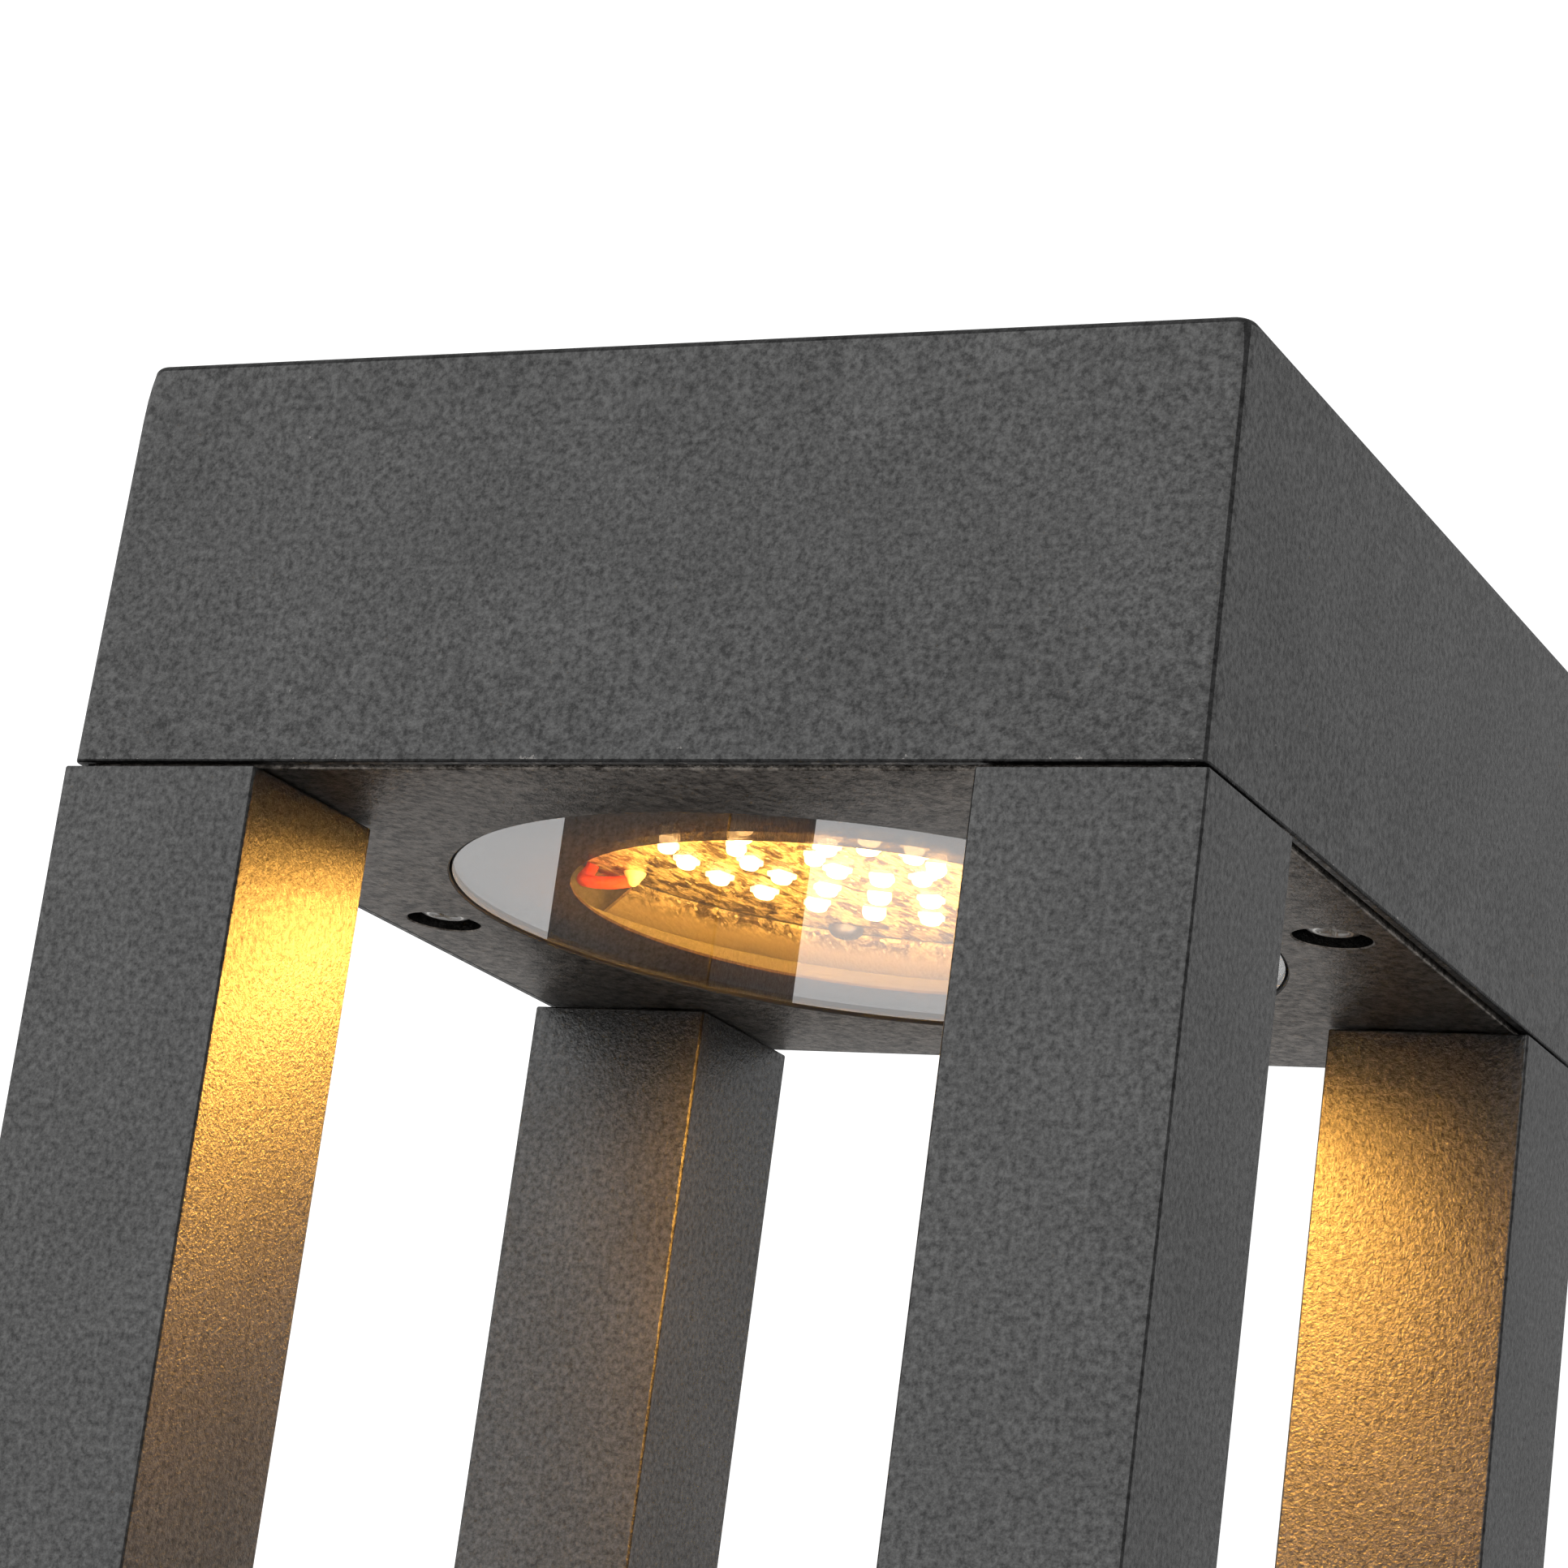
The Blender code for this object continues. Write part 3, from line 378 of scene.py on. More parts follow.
def floor_finish():
    """A plain pale studio floor."""
    made, tree, shader = new_material("pale_floor")
    wire_up(
        tree,
        shader,
        Base_Color=ramp(tree, noise(tree, 0.4, 2.0), ((0.3, 0.74), (0.7, 0.78))),
        Roughness=spread(tree, noise(tree, 0.05), 0.7, 0.85),
    )
    return made


# ---- mesh helpers ----------------------------------------------------------------------------
def skin(builder, loops, ends="closed"):
    """Side faces through loops of the same length; ends are closed with a face, or joined round."""
    pairs = list(zip(loops, loops[1:]))
    if ends == "round":
        pairs.append((loops[-1], loops[0]))
    for lower, upper in pairs:
        count = len(lower)
        for i in range(count):
            j = (i + 1) % count
            builder.faces.new((lower[i], lower[j], upper[j], upper[i]))
    if ends == "closed":
        builder.faces.new(loops[0][::-1])
        builder.faces.new(loops[-1])


def outline_loops(builder, sections):
    """Vertex loops from (height, outline) sections."""
    return [[builder.verts.new((x, y, z)) for x, y in outline] for z, outline in sections]


def finish_piece(builder, name, finishes, replaced=(), smooth_angle=40.0):
    """Turns a bmesh into a shown piece that rides on the root body."""
    bmesh.ops.recalc_face_normals(builder, faces=builder.faces)
    mesh = bpy.data.meshes.new(name)
    builder.to_mesh(mesh)
    builder.free()
    mesh.shade_smooth()
    mesh.set_sharp_from_angle(angle=math.radians(smooth_angle))
    for finish in finishes:
        mesh.materials.append(finish)
    made = bpy.data.objects.new(name, mesh)
    bpy.context.scene.collection.objects.link(made)
    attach(made, "root")
    if replaced:
        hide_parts(*replaced)
    return made


def rounded_outline(half_x, half_y, radius, centre=(0.0, 0.0), steps=8):
    """A rectangle with round corners, anticlockwise from its lower right."""
    points = []
    for corner, (side_x, side_y) in enumerate(((1, -1), (1, 1), (-1, 1), (-1, -1))):
        start = math.radians(-90 + 90 * corner)
        for step in range(steps + 1):
            angle = start + math.radians(90) * step / steps
            x = side_x * (half_x - radius) + radius * math.cos(angle)
            y = side_y * (half_y - radius) + radius * math.sin(angle)
            points.append((centre[0] + x, centre[1] + y))
    return points


def circle(radius, centre=(0.0, 0.0), steps=ROUND_STEPS):
    """Points on a circle."""
    return [
        (
            centre[0] + radius * math.cos(2 * math.pi * i / steps),
            centre[1] + radius * math.sin(2 * math.pi * i / steps),
        )
        for i in range(steps)
    ]


def square(half, steps=ROUND_STEPS):
    """Points on a square, at the same angles as the circle's."""
    points = []
    for i in range(steps):
        angle = 2 * math.pi * i / steps
        reach = half / max(abs(math.cos(angle)), abs(math.sin(angle)))
        points.append((reach * math.cos(angle), reach * math.sin(angle)))
    return points


def turned_loops(builder, profile, centre=(0.0, 0.0), steps=ROUND_STEPS):
    """Vertex loops of a (radius, height) profile."""
    return outline_loops(builder, [(z, circle(radius, centre, steps)) for radius, z in profile])


def cutter(builder, name):
    """A hidden object that cuts another."""
    bmesh.ops.recalc_face_normals(builder, faces=builder.faces)
    mesh = bpy.data.meshes.new(name)
    builder.to_mesh(mesh)
    builder.free()
    made = bpy.data.objects.new(name, mesh)
    bpy.context.scene.collection.objects.link(made)
    made.hide_render = True
    return made


def cut(target, cutters, bevel=0.0, smooth_angle=40.0):
    """Cuts, rounds the new edges where asked, applies it all to the mesh and drops the cutters."""
    for tool in cutters:
        modifier = target.modifiers.new(tool.name, "BOOLEAN")
        modifier.operation = "DIFFERENCE"
        modifier.object = tool
        modifier.solver = "EXACT"
    if bevel:
        rounding = target.modifiers.new("rounding", "BEVEL")
        rounding.width = bevel
        rounding.segments = 3
        rounding.limit_method = "ANGLE"
        rounding.angle_limit = math.radians(50)
    bpy.context.view_layer.update()
    settled = target.evaluated_get(bpy.context.evaluated_depsgraph_get())
    mesh = bpy.data.meshes.new_from_object(settled)
    target.modifiers.clear()
    target.data = mesh
    mesh.shade_smooth()
    mesh.set_sharp_from_angle(angle=math.radians(smooth_angle))
    for tool in cutters:
        bpy.data.objects.remove(tool, do_unlink=True)


def on_circle(radius, degrees):
    """The place at an angle on a circle round the middle."""
    angle = math.radians(degrees)
    return radius * math.cos(angle), radius * math.sin(angle)


def quarter_turn(steps):
    """Angles from 0 to 90 degrees in that many steps."""
    return [math.radians(90) * step / steps for step in range(steps + 1)]


def middle_of(low, high):
    """The middle of a box, seen from above."""
    return (low[0] + high[0]) / 2, (low[1] + high[1]) / 2


# ---- pieces ----------------------------------------------------------------------------------
def darken_edges(made, corner_turn, cap_edges=False):
    """Gives the second finish, a darker coat that paints shade, to round corners and to a cap's top and rim
    edges.
    """
    for face in made.data.polygons:
        across = min(abs(face.normal.x), abs(face.normal.y))
        tilt = abs(face.normal.z)
        on_edge = cap_edges and 0.25 < tilt < 0.97
        face.material_index = 1 if across > corner_turn or on_edge else 0


def make_cap(finish, edge_finish):
    """The cast cap: drafted sides, corners rounder towards the top, a soft rim edge, hollow inside."""
    slope = math.tan(CAP_DRAFT)
    low, high = CAP_LOW[2], CAP_HIGH[2]
    half = CAP_HIGH[0]
    sections = []
    for angle in quarter_turn(3):
        inset = CAP_RIM_EDGE * (1 - math.sin(angle))
        z = low + CAP_RIM_EDGE * (1 - math.cos(angle))
        sections.append((z, rounded_outline(half - inset, half - inset, CAP_CORNER - inset)))
    for below_top, corner in CAP_CORNER_STEPS:
        reach = half - slope * (high - below_top - low)
        sections.append((high - below_top, rounded_outline(reach, reach, corner)))
    for angle in quarter_turn(8):
        inset = CAP_FILLET * (1 - math.cos(angle))
        z = high - CAP_FILLET * (1 - math.sin(angle))
        reach = half - slope * (z - low) - inset
        sections.append((z, rounded_outline(reach, reach, CAP_TOP_CORNER - inset)))
    builder = bmesh.new()
    outside = outline_loops(builder, sections)
    rim = half - CAP_RIM_THICKNESS
    ledge = PLATE_LOW[2] + PLATE_THICKNESS + CAP_SEAL_ROOM
    room = half - CAP_WALL
    roof = high - CAP_ROOF
    room_top = room - slope * (roof - ledge)
    edge = 0.00015
    inside = outline_loops(
        builder,
        [
            (low, rounded_outline(rim + edge, rim + edge, CAP_INNER_CORNER + edge)),
            (low + edge, rounded_outline(rim, rim, CAP_INNER_CORNER)),
            (ledge, rounded_outline(rim, rim, CAP_INNER_CORNER)),
            (ledge, rounded_outline(room, room, CAP_INNER_CORNER)),
            (roof, rounded_outline(room_top, room_top, CAP_INNER_CORNER)),
        ],
    )
    skin(builder, inside[::-1] + outside)
    cap = finish_piece(builder, "cap_shell", [finish, edge_finish], ["head_cap"])
    # painted shade on the cap's corners and on its top and rim edges
    darken_edges(cap, 0.6, cap_edges=True)


def make_plate(finish, inside_finish, dark_lip_finish, recess_shade_finish):
    """The underside plate: coated outside, primed in the lamp chamber, with black rubber on the lip round
    the glass and a near-black coat as painted shade in the screw counterbores.
    """
    low = PLATE_LOW[2]
    top = low + PLATE_THICKNESS
    chamber_top = PLATE_HIGH[2]
    recess = GLASS_HIGH[0] + FIT_GAP
    ledge_low = GASKET_TOP + LEDGE_GAP
    ledge_top = ledge_low + LEDGE_THICKNESS
    half = PLATE_HIGH[0]
    lip = 0.0002
    builder = bmesh.new()
    loops = []
    for angle in quarter_turn(3):
        radius = recess + lip * (1 - math.sin(angle))
        loops.append((low + lip * (1 - math.cos(angle)), circle(radius)))
    loops += [
        (ledge_low, circle(recess)),
        (ledge_low, circle(LEDGE_RADIUS)),
        (ledge_top, circle(LEDGE_RADIUS)),
        (ledge_top, circle(CHAMBER_RADIUS)),
        (chamber_top, circle(CHAMBER_RADIUS)),
        (chamber_top, circle(CHAMBER_WALL_RADIUS)),
        (top, circle(CHAMBER_WALL_RADIUS)),
        (top, square(half)),
    ]
    for angle in quarter_turn(3):
        inset = PLATE_EDGE * (1 - math.cos(angle))
        loops.append((low + PLATE_EDGE * (1 - math.sin(angle)), square(half - inset)))
    skin(builder, outline_loops(builder, loops), ends="round")
    finishes = [finish, inside_finish, dark_lip_finish, recess_shade_finish]
    plate = finish_piece(builder, "plate_casting", finishes, ["underside_plate"])
    cutters = []
    for sign in (-1, 1):
        centre = (sign * CAP_SCREW_X, 0.0)
        depth = low + COUNTERBORE_DEPTH
        edge = 0.00018
        profile = (
            (COUNTERBORE_RADIUS + edge * 2, low - edge),
            (COUNTERBORE_RADIUS, low + edge),
            (COUNTERBORE_RADIUS, depth),
            (CAP_SCREW_HOLE, depth),
            (CAP_SCREW_HOLE, top + PAST),
        )
        hole = bmesh.new()
        skin(hole, turned_loops(hole, profile, centre, 64))
        cutters.append(cutter(hole, f"screw_recess_{sign}"))
    cut(plate, cutters)
    for face in plate.data.polygons:
        middle = face.center
        reach = math.hypot(middle.x, middle.y)
        from_screw = math.hypot(abs(middle.x) - CAP_SCREW_X, middle.y)
        if middle.z > ledge_low + 0.0001 and reach < CHAMBER_RADIUS + FIT_GAP:
            face.material_index = 1
        # the lip and recess wall round the glass are black rubber, darker there
        elif middle.z > low and reach < recess + lip:
            face.material_index = 2
        # counterbore walls get a near-black coat: painted shade in the recess
        elif middle.z > low + 0.0002 and from_screw < COUNTERBORE_RADIUS:
            face.material_index = 3


def make_post(name, finish, edge_finish):
    """A square tube with soft edges."""
    low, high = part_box(name)
    centre = middle_of(low, high)
    half = POST_WIDTH / 2
    chamfer = 0.0003
    sections = []
    for angle in quarter_turn(3):
        inset = chamfer * (1 - math.sin(angle))
        z = low[2] + chamfer * (1 - math.cos(angle))
        sections.append((z, rounded_outline(half - inset, half - inset, POST_EDGE_RADIUS - inset, centre)))
    for z, outline in reversed(list(sections)):
        sections.append((high[2] - (z - low[2]), outline))
    inner_half = half - POST_WALL
    inner = rounded_outline(inner_half, inner_half, 0.0004, centre)
    builder = bmesh.new()
    outer_loops = outline_loops(builder, sections)
    inner_loops = outline_loops(builder, [(high[2], inner), (low[2], inner)])
    skin(builder, outer_loops + inner_loops, ends="round")
    post = finish_piece(builder, f"{name}_tube", [finish, edge_finish], [name])
    # painted shade on the post's round corners
    darken_edges(post, 0.3)


def make_base(finish):
    """The floor plate with soft upper edges, anchor holes and the screw and cable holes below."""
    low, high = BASE_LOW[2], BASE_HIGH[2]
    half = BASE_HIGH[0]
    chamfer = 0.0005
    sections = [(low, rounded_outline(half, half, POST_EDGE_RADIUS))]
    for angle in quarter_turn(3):
        inset = chamfer * (1 - math.cos(angle))
        z = high - chamfer * (1 - math.sin(angle))
        sections.append((z, rounded_outline(half - inset, half - inset, POST_EDGE_RADIUS)))
    builder = bmesh.new()
    skin(builder, outline_loops(builder, sections))
    base = finish_piece(builder, "base_casting", [finish], ["base_plate"])
    post_centre = half - POST_WIDTH / 2
    cable = post_centre - CABLE_OFFSET
    holes = [((cable, cable), ((CABLE_HOLE, low - PAST), (CABLE_HOLE, high + PAST)))]
    bore_radius, bore_depth = BASE_COUNTERBORE
    bore = (
        (bore_radius, low - PAST),
        (bore_radius, low + bore_depth),
        (POST_SCREW_HOLE, low + bore_depth),
        (POST_SCREW_HOLE, high + PAST),
    )
    edge = 0.0005
    anchor_hole = (
        (ANCHOR_HOLE, low - PAST),
        (ANCHOR_HOLE, high - edge),
        (ANCHOR_HOLE + 2 * edge, high + edge),
    )
    for side_x in (-1, 1):
        for side_y in (-1, 1):
            holes.append(((side_x * ANCHOR_PLACE, side_y * ANCHOR_PLACE), anchor_hole))
            holes.append(((side_x * post_centre, side_y * post_centre), bore))
    cutters = []
    for number, (centre, profile) in enumerate(holes):
        hole = bmesh.new()
        skin(hole, turned_loops(hole, profile, centre, 48))
        cutters.append(cutter(hole, f"base_hole_{number}"))
    cut(base, cutters)


def make_glass(clear_finish, masked_finish, edge_finish):
    """The glass disc: light leaves its clear middle, and sealant blackens its edge."""
    radius = GLASS_HIGH[0]
    low, high = GLASS_LOW[2], GLASS_HIGH[2]
    grind = 0.00012
    profile = (
        (LIGHT_EXIT_RADIUS, low),
        (radius - grind, low),
        (radius, low + grind),
        (radius, high - grind),
        (radius - grind, high),
    )
    builder = bmesh.new()
    skin(builder, turned_loops(builder, profile))
    for face in builder.faces:
        if len(face.verts) == 4:
            flat = max(corner.co.z for corner in face.verts) < low + grind / 2
            face.material_index = 1 if flat else 2
    finishes = [clear_finish, masked_finish, edge_finish]
    finish_piece(builder, "glass_disc", finishes, ["lens_glass"], 30.0)


def make_mask(finish):
    """The black ring behind the glass that leaves the round window clear."""
    low, high = MASK_LOW[2], MASK_HIGH[2]
    builder = bmesh.new()
    profile = ((WINDOW_RADIUS, low), (MASK_HIGH[0], low), (MASK_HIGH[0], high), (WINDOW_RADIUS, high))
    skin(builder, turned_loops(builder, profile), ends="round")
    finish_piece(builder, "mask_ring", [finish], ["lens_mask"])


def make_board(finish):
    """The round board behind the light sources."""
    low, high = BOARD_LOW[2], BOARD_HIGH[2]
    radius = BOARD_HIGH[0]
    edge = 0.0002
    profile = ((radius - edge, low), (radius, low + edge), (radius, high - edge), (radius - edge, high))
    builder = bmesh.new()
    skin(builder, turned_loops(builder, profile, steps=128))
    board = finish_piece(builder, "lamp_board", [finish], ["led_board"])
    cutters = []
    for degrees in BOARD_SCREW_ANGLES:
        hole = bmesh.new()
        profile = ((BOARD_SCREW_HOLE, low - PAST), (BOARD_SCREW_HOLE, high + PAST))
        skin(hole, turned_loops(hole, profile, on_circle(BOARD_SCREW_CIRCLE, degrees), 32))
        cutters.append(cutter(hole, f"board_hole_{degrees}"))
    cut(board, cutters)
    board.visible_glossy = False


def led_places():
    """(place, angle) of every light source."""
    for radius, count, start in LED_RINGS:
        for index in range(count):
            degrees = start + 360.0 * index / count
            yield on_circle(radius, degrees), math.radians(degrees)


def make_leds(body_finish, glow_finish):
    """Every light source: a small square package under a clear dome that glows."""
    builder = bmesh.new()
    low, high = ARRAY_LOW[2], ARRAY_HIGH[2]
    half_short, half_long = LED_HALF
    dome_short, dome_long, dome_height = LED_DOME
    dome_rings, dome_steps = 5, 24
    for (x, y), angle in led_places():
        turn = Matrix.Rotation(angle, 3, "Z")
        loops = []
        for z, inset in ((high, 0.0), (low + 0.0001, 0.0), (low, 0.0001)):
            outline = rounded_outline(half_short - inset, half_long - inset, 0.0002, steps=2)
            points = [turn @ Vector((px, py, 0.0)) for px, py in outline]
            loops.append([builder.verts.new((x + p.x, y + p.y, z)) for p in points])
        skin(builder, loops)
        dome_loops = []
        for step in range(dome_rings):
            lift = math.radians(90) * step / dome_rings
            z = low - FIT_GAP / 10 - dome_height * math.sin(lift)
            reach = math.sqrt(math.cos(lift))
            points = [
                turn @ Vector((dome_short * reach * px, dome_long * reach * py, 0.0))
                for px, py in circle(1.0, steps=dome_steps)
            ]
            dome_loops.append([builder.verts.new((x + p.x, y + p.y, z)) for p in points])
        before = set(builder.faces)
        skin(builder, dome_loops)
        for face in set(builder.faces) - before:
            face.material_index = 1
    sources = finish_piece(builder, "led_sources", [body_finish, glow_finish], ["led_array"])
    sources.visible_diffuse = False
    sources.visible_glossy = False


def make_cap_screw(side, dark_finish, glint_finish):
    """A blackened pan-head screw in its counterbore, with bright steel in its cross recess and on a ring
    round its crown as painted glints.
    """
    low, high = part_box(f"cap_screw_{side}")
    centre = (middle_of(low, high)[0], 0.0)
    crown = low[2]
    head_radius, flat_radius = CAP_SCREW_HEAD, CAP_SCREW_FLAT
    head_height = COUNTERBORE_DEPTH - CAP_SCREW_SINK - FIT_GAP
    profile = [(flat_radius, crown)]
    dome_steps = 10
    for step in range(1, dome_steps + 1):
        angle = math.radians(90) * step / dome_steps
        radius = flat_radius + (head_radius - flat_radius) * math.sin(angle)
        profile.append((radius, crown + head_height * 0.75 * (1 - math.cos(angle))))
    profile.append((head_radius, crown + head_height))
    profile.append((CAP_SCREW_SHANK, crown + head_height))
    profile.append((CAP_SCREW_SHANK, high[2]))
    builder = bmesh.new()
    skin(builder, turned_loops(builder, profile, centre, 64))
    name = f"cap_screw_{side}"
    screw = finish_piece(builder, f"{name}_head", [dark_finish, glint_finish], [name])
    cutters = []
    for number, (half_x, half_y) in enumerate((CAP_SCREW_CROSS, CAP_SCREW_CROSS[::-1])):
        slot_builder = bmesh.new()
        wide = rounded_outline(half_x, half_y, 0.0002, centre, 4)
        deep = rounded_outline(half_x * 0.5, half_y * 0.7, 0.0001, centre, 4)
        sections = [(crown - 0.0006, wide), (crown + 0.0001, wide), (crown + 0.0017, deep)]
        skin(slot_builder, outline_loops(slot_builder, sections))
        cutters.append(cutter(slot_builder, f"cross_{side}_{number}"))
    cut(screw, cutters, bevel=0.00012)
    glint_ring_start, glint_ring_end = CAP_SCREW_GLINT_RING
    # bright steel in the cross recess and on a ring round the crown: painted glints
    for face in screw.data.polygons:
        from_middle = math.hypot(face.center.x - centre[0], face.center.y - centre[1])
        in_cross = from_middle < glint_ring_start and crown + 0.00002 < face.center.z < crown + 0.0025
        on_ring = glint_ring_start < from_middle < glint_ring_end and face.center.z < crown + 0.0003
        face.material_index = 1 if in_cross or on_ring else 0


def tube_along(name, points, radius, finish, replaced):
    """A round wire along a smooth route."""
    curve = bpy.data.curves.new(name, "CURVE")
    curve.dimensions = "3D"
    curve.bevel_depth = radius
    curve.bevel_resolution = 6
    curve.use_fill_caps = True
    spline = curve.splines.new("NURBS")
    spline.points.add(len(points) - 1)
    for point, target in zip(spline.points, points):
        point.co = (*target, 1.0)
    spline.order_u = 4
    spline.use_endpoint_u = True
    spline.resolution_u = 10
    curve.materials.append(finish)
    made = bpy.data.objects.new(name, curve)
    bpy.context.scene.collection.objects.link(made)
    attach(made, "root")
    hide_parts(*replaced)


def make_lamp_wire(name, degrees, wire_finish, solder_finish):
    """One lamp wire: off its solder joint, down in a slack bend, and up through the heat spreader."""
    side = 1 if degrees < 180 else -1
    pad_x, pad_y = on_circle(WIRE_PAD_CIRCLE, degrees)
    hole_x, hole_y = on_circle(WIRE_HOLE_CIRCLE, degrees)
    low = BOARD_LOW[2] - 0.0013
    top = WIRE_TOP - 0.0008
    end_x = DRIVER_SIDE - 0.0004
    route = (
        (pad_x, pad_y, low),
        (pad_x - 0.0020, pad_y - side * 0.0004, low - 0.0005),
        (pad_x - 0.0042, pad_y - side * 0.0014, low - 0.0007),
        (hole_x - 0.0010, hole_y - side * 0.0030, low - 0.0004),
        (hole_x - 0.0006, hole_y - side * 0.0008, BOARD_LOW[2] - 0.0002),
        (hole_x, hole_y, BOARD_HIGH[2] + 0.0010),
        (hole_x, hole_y, BOARD_HIGH[2] + 0.0060),
        (hole_x - 0.0004, hole_y - side * 0.0020, top - 0.0020),
        (end_x - 0.0018, side * WIRE_SPACING, top),
        (end_x, side * WIRE_SPACING, top),
    )
    tube_along(f"lamp_wire_{name}", route, WIRE_RADIUS, wire_finish, [f"led_wire_{name}"])
    builder = bmesh.new()
    profile = [(solder_radius, BOARD_LOW[2] - drop) for solder_radius, drop in SOLDER_PROFILE]
    skin(builder, turned_loops(builder, profile, (pad_x + 0.0008, pad_y), 20))
    finish_piece(builder, f"solder_joint_{name}", [solder_finish], ())


def make_board_screw(number, finish):
    """A small round-head screw with a cross slot in the board."""
    name = f"board_screw_{number}"
    low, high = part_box(name)
    centre = middle_of(low, high)
    head_radius = (high[0] - low[0]) / 2
    seat = BOARD_LOW[2] - FIT_GAP
    head_height = seat - low[2]
    profile = []
    dome_steps = 6
    for step in range(dome_steps):
        lift = math.radians(80) * (1 - step / dome_steps)
        profile.append((head_radius * math.cos(lift), seat - head_height * math.sin(lift)))
    profile += [(head_radius, seat), (BOARD_SCREW_SHANK, seat), (BOARD_SCREW_SHANK, high[2])]
    builder = bmesh.new()
    skin(builder, turned_loops(builder, profile, centre, 32))
    screw = finish_piece(builder, f"{name}_head", [finish], [name])
    cutters = []
    for way, (half_x, half_y) in enumerate((BOARD_SCREW_CROSS, BOARD_SCREW_CROSS[::-1])):
        slot_builder = bmesh.new()
        outline = rounded_outline(half_x, half_y, 0.0001, centre, 2)
        sections = [(low[2] - 0.0005, outline), (low[2] + 0.0008, outline)]
        skin(slot_builder, outline_loops(slot_builder, sections))
        cutters.append(cutter(slot_builder, f"board_slot_{number}_{way}"))
    cut(screw, cutters)


def make_reflector(finish):
    """The sloping hammered ring from the board's rim to the ledge, open where the lamp wires pass."""
    low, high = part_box("reflector_ring")
    outer = CHAMBER_RADIUS - FIT_GAP
    section = (
        (REFLECTOR_INNER_RADIUS, high[2] - REFLECTOR_THICKNESS),
        (outer, low[2]),
        (outer, low[2] + REFLECTOR_THICKNESS),
        (REFLECTOR_INNER_RADIUS, high[2]),
    )
    half_opening = on_circle(WIRE_HOLE_CIRCLE, RED_WIRE_ANGLE)[1] + 0.0035
    end = math.pi - math.asin(half_opening / REFLECTOR_INNER_RADIUS)
    builder = bmesh.new()
    loops = []
    for step in range(ROUND_STEPS + 1):
        angle = -end + 2 * end * step / ROUND_STEPS
        loops.append([builder.verts.new((r * math.cos(angle), r * math.sin(angle), z)) for r, z in section])
    skin(builder, loops)
    reflector = finish_piece(builder, "reflector_cone", [finish], ["reflector_ring"])
    reflector.visible_glossy = False


# ---- surroundings ----------------------------------------------------------------------------
def make_floor(finish):
    """The studio floor."""
    builder = bmesh.new()
    half = FLOOR_HALF
    corners = ((-half, -half), (half, -half), (half, half), (-half, half))
    builder.faces.new([builder.verts.new((x, y, -FLOOR_DROP)) for x, y in corners])
    mesh = bpy.data.meshes.new("floor")
    builder.to_mesh(mesh)
    builder.free()
    mesh.materials.append(finish)
    floor = bpy.data.objects.new("floor", mesh)
    bpy.context.scene.collection.objects.link(floor)


def make_world():
    """Soft white studio light from everywhere, stronger from the left."""
    world = bpy.data.worlds.new("studio")
    world.use_nodes = True
    background = world.node_tree.nodes["Background"]
    background.inputs["Color"].default_value = (1.0, 1.0, 1.0, 1.0)
    tree = world.node_tree
    direction = node(tree, "ShaderNodeTexCoord").outputs["Generated"]
    sideways = node(tree, "ShaderNodeSeparateXYZ", {"Vector": direction}).outputs["X"]
    strength = remap(tree, sideways, -1.0, 1.0, WORLD_LEFT, WORLD_RIGHT)
    tree.links.new(strength, background.inputs["Strength"])
    bpy.context.scene.world = world


def add_area(name, spot, size, power, colour, aim=(0.0, 0.0, -1.0), spread_angle=math.pi):
    """A round area light that shines along aim and is itself never seen."""
    light = bpy.data.lights.new(name, "AREA")
    light.shape = "DISK"
    light.size = size
    light.energy = power
    light.color = colour
    light.spread = spread_angle
    made = bpy.data.objects.new(name, light)
    made.location = spot
    made.rotation_euler = Vector(aim).to_track_quat("-Z", "Y").to_euler()
    made.visible_camera = False
    made.visible_transmission = False
    bpy.context.scene.collection.objects.link(made)
    return made


def make_lamp_lights():
    """The light that each source sends down, and what the glass throws back up at the board."""
    down = ARRAY_LOW[2] - LED_DOME[2] - LIGHT_GAP
    lean = math.sin(LAMP_LEAN) / math.sqrt(2)
    aim = (-lean, -lean, -math.cos(LAMP_LEAN))
    for number, ((x, y), _) in enumerate(led_places()):
        add_area(f"led_light_{number}", (x, y, down), LED_LIGHT_SIZE, LED_POWER, LED_COLOUR, aim, LED_SPREAD)
    above_glass = (0.0, 0.0, MASK_HIGH[2] + LIGHT_GAP)
    upward = (0.0, 0.0, 1.0)
    wide = add_area("chamber_fill", above_glass, 2 * WINDOW_RADIUS, CHAMBER_FILL_POWER, LED_COLOUR, upward)
    near = add_area("board_glow", above_glass, 2 * LED_RINGS[-1][0], BOARD_GLOW_POWER, LED_COLOUR, upward)
    for fill in (wide, near):
        fill.visible_glossy = False


def make_camera():
    """The camera, low at the front right and looking up at the head."""
    heading, climb, roll = CAMERA_HEADING, CAMERA_CLIMB, CAMERA_ROLL
    forward = Vector(
        (-math.sin(heading) * math.cos(climb), math.cos(heading) * math.cos(climb), math.sin(climb))
    )
    level = Vector((math.cos(heading), math.sin(heading), 0.0))
    above = level.cross(forward)
    right = level * math.cos(roll) + above * math.sin(roll)
    up = above * math.cos(roll) - level * math.sin(roll)
    camera_data = bpy.data.cameras.new("camera")
    camera_data.lens = CAMERA_LENS
    camera_data.sensor_width = 36.0
    camera_data.clip_start = 0.01
    camera = bpy.data.objects.new("camera", camera_data)
    rotation = Matrix((right, up, -forward)).transposed()
    camera.matrix_world = Matrix.Translation(CAMERA_PLACE) @ rotation.to_4x4()
    bpy.context.scene.collection.objects.link(camera)
    bpy.context.scene.camera = camera


# ---- the scene -------------------------------------------------------------------------------
make_camera()
make_world()
make_floor(floor_finish())

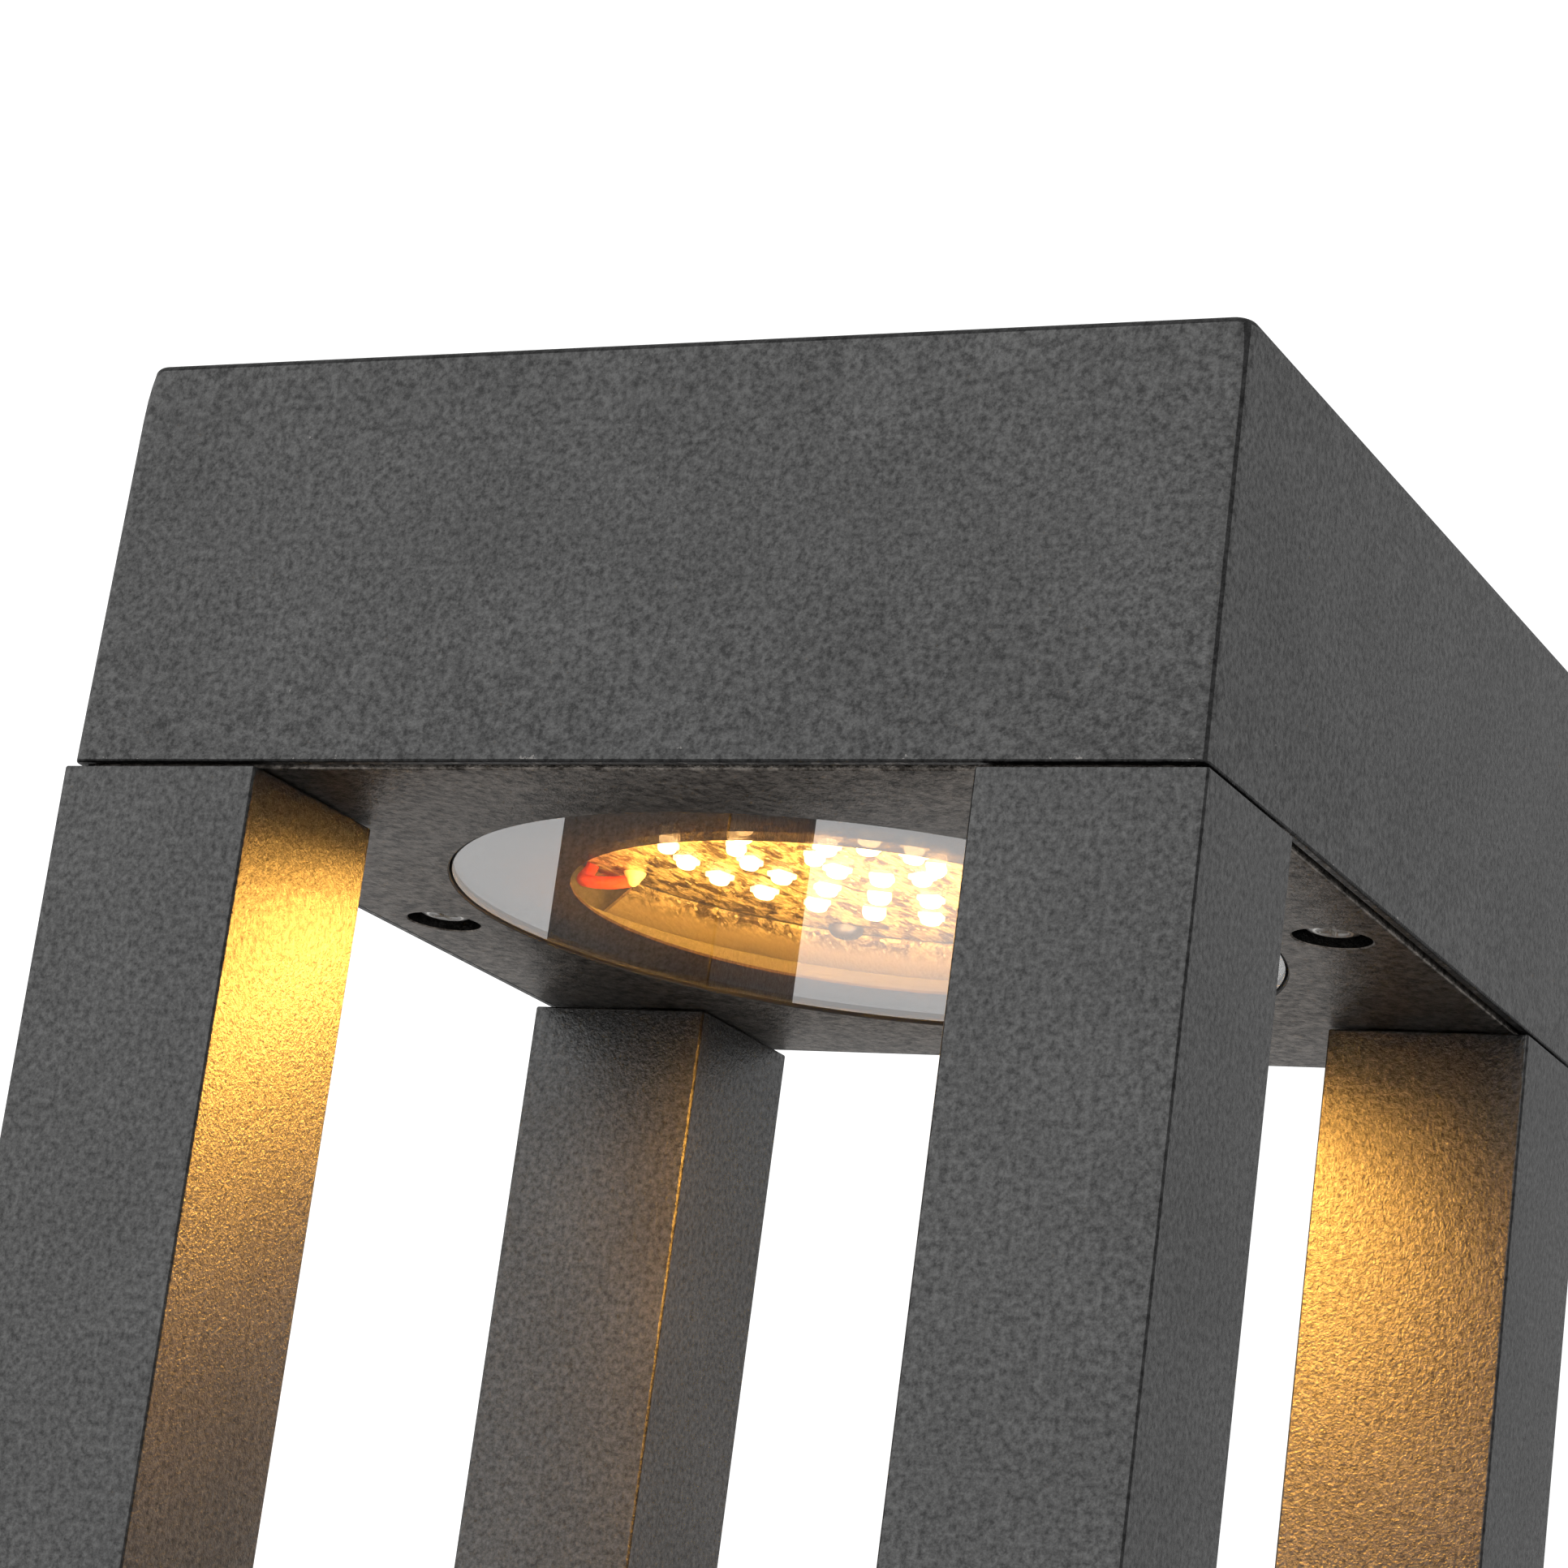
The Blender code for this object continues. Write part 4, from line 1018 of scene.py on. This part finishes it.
coat = powder_coat("coat_anthracite", (0.050, 0.050, 0.050), (0.135, 0.135, 0.134))
cap_coat = powder_coat("coat_cap", (0.050, 0.050, 0.050), (0.135, 0.135, 0.134), worn_from=CAP_LOW[2])
# darker coat for round corners and the cap's top and rim edges: painted shade
edge_shade_coat = powder_coat("coat_edges_painted_shade", (0.018, 0.018, 0.018), (0.050, 0.050, 0.050))
# the underside coat is warmer and lighter than the anthracite coat: painted warm bounce light from the lamp
# and the floor
underside_coat_lamp_lit = powder_coat("coat_underside", (0.036, 0.032, 0.028), (0.235, 0.212, 0.190), 0.0016)
# near-black coat for the screw counterbores: painted shade
recess_shade_coat = powder_coat("coat_recess_painted_shade", (0.010, 0.010, 0.009), (0.030, 0.029, 0.028))
rubber = moulded("rubber_black", (0.02, 0.02, 0.02), 0.75)
steel = bare_metal("steel_zinc", (0.62, 0.60, 0.57), 0.3)
black_steel = bare_metal("steel_blackened", (0.20, 0.19, 0.18), 0.3)
aluminium = bare_metal("aluminium_machined", (0.80, 0.81, 0.82), 0.35)
white_plastic = moulded("plastic_white", (0.82, 0.82, 0.80), 0.45)
cream_plastic = moulded("plastic_cream", (0.75, 0.72, 0.64), 0.45)
jacket = moulded("cable_jacket_black", (0.02, 0.02, 0.022), 0.6)
red_insulation = moulded("insulation_red", (0.95, 0.10, 0.03), 0.4)
black_insulation = moulded("insulation_black", (0.02, 0.02, 0.02), 0.45)
brown_insulation = moulded("insulation_brown", (0.16, 0.06, 0.02), 0.45)
blue_insulation = moulded("insulation_blue", (0.02, 0.12, 0.45), 0.45)
green_insulation = moulded("insulation_green", (0.20, 0.45, 0.04), 0.45)

make_cap(cap_coat, edge_shade_coat)
inside_paint = moulded("chamber_primed", (0.13, 0.12, 0.07), 0.5)
make_plate(underside_coat_lamp_lit, inside_paint, rubber, recess_shade_coat)
for corner in ("front_left", "front_right", "back_left", "back_right"):
    make_post(f"post_{corner}", coat, edge_shade_coat)
make_base(coat)
make_glass(clear_glass("lens_glass_clear", True), clear_glass("lens_glass_masked", False), rubber)
make_mask(black_film())
hammered = hammered_metal(
    "lamp_hammered", (0.10, 0.075, 0.045), (0.66, 0.60, 0.44), (1.0, 0.96, 0.80), BOARD_LOW[2] - 0.0030
)
make_board(hammered)
make_reflector(hammered)
make_leds(lit("led_body", 3.0), lit("led_dome", 9.0))
for number in (1, 2, 3):
    make_board_screw(number, steel)
for side in ("left", "right"):
    make_cap_screw(side, black_steel, steel)
solder = moulded("solder_bright", (0.92, 0.86, 0.66), 0.3)
make_lamp_wire("red", RED_WIRE_ANGLE, red_insulation, solder)
make_lamp_wire("black", BLACK_WIRE_ANGLE, black_insulation, solder)
make_lamp_lights()

slot_finish = {
    "powder_coat": coat,
    "powder_coat_underside": underside_coat_lamp_lit,
    "rubber_seals": rubber,
    "aluminium_bare": aluminium,
    "steel_fasteners": steel,
    "driver_case": white_plastic,
    "terminal_plastic": cream_plastic,
    "cable_jacket": jacket,
    "wire_red": red_insulation,
    "wire_black": black_insulation,
    "wire_brown": brown_insulation,
    "wire_blue": blue_insulation,
    "wire_green": green_insulation,
}
for part in frame["record"]["subparts"]:
    cad_object = frame["nodes"][part["node"]]
    finish = slot_finish.get(part["material_slot"])
    if finish is not None and not cad_object.hide_render:
        cad_object.data.materials.clear()
        cad_object.data.materials.append(finish)

bpy.context.scene.view_settings.view_transform = "Standard"
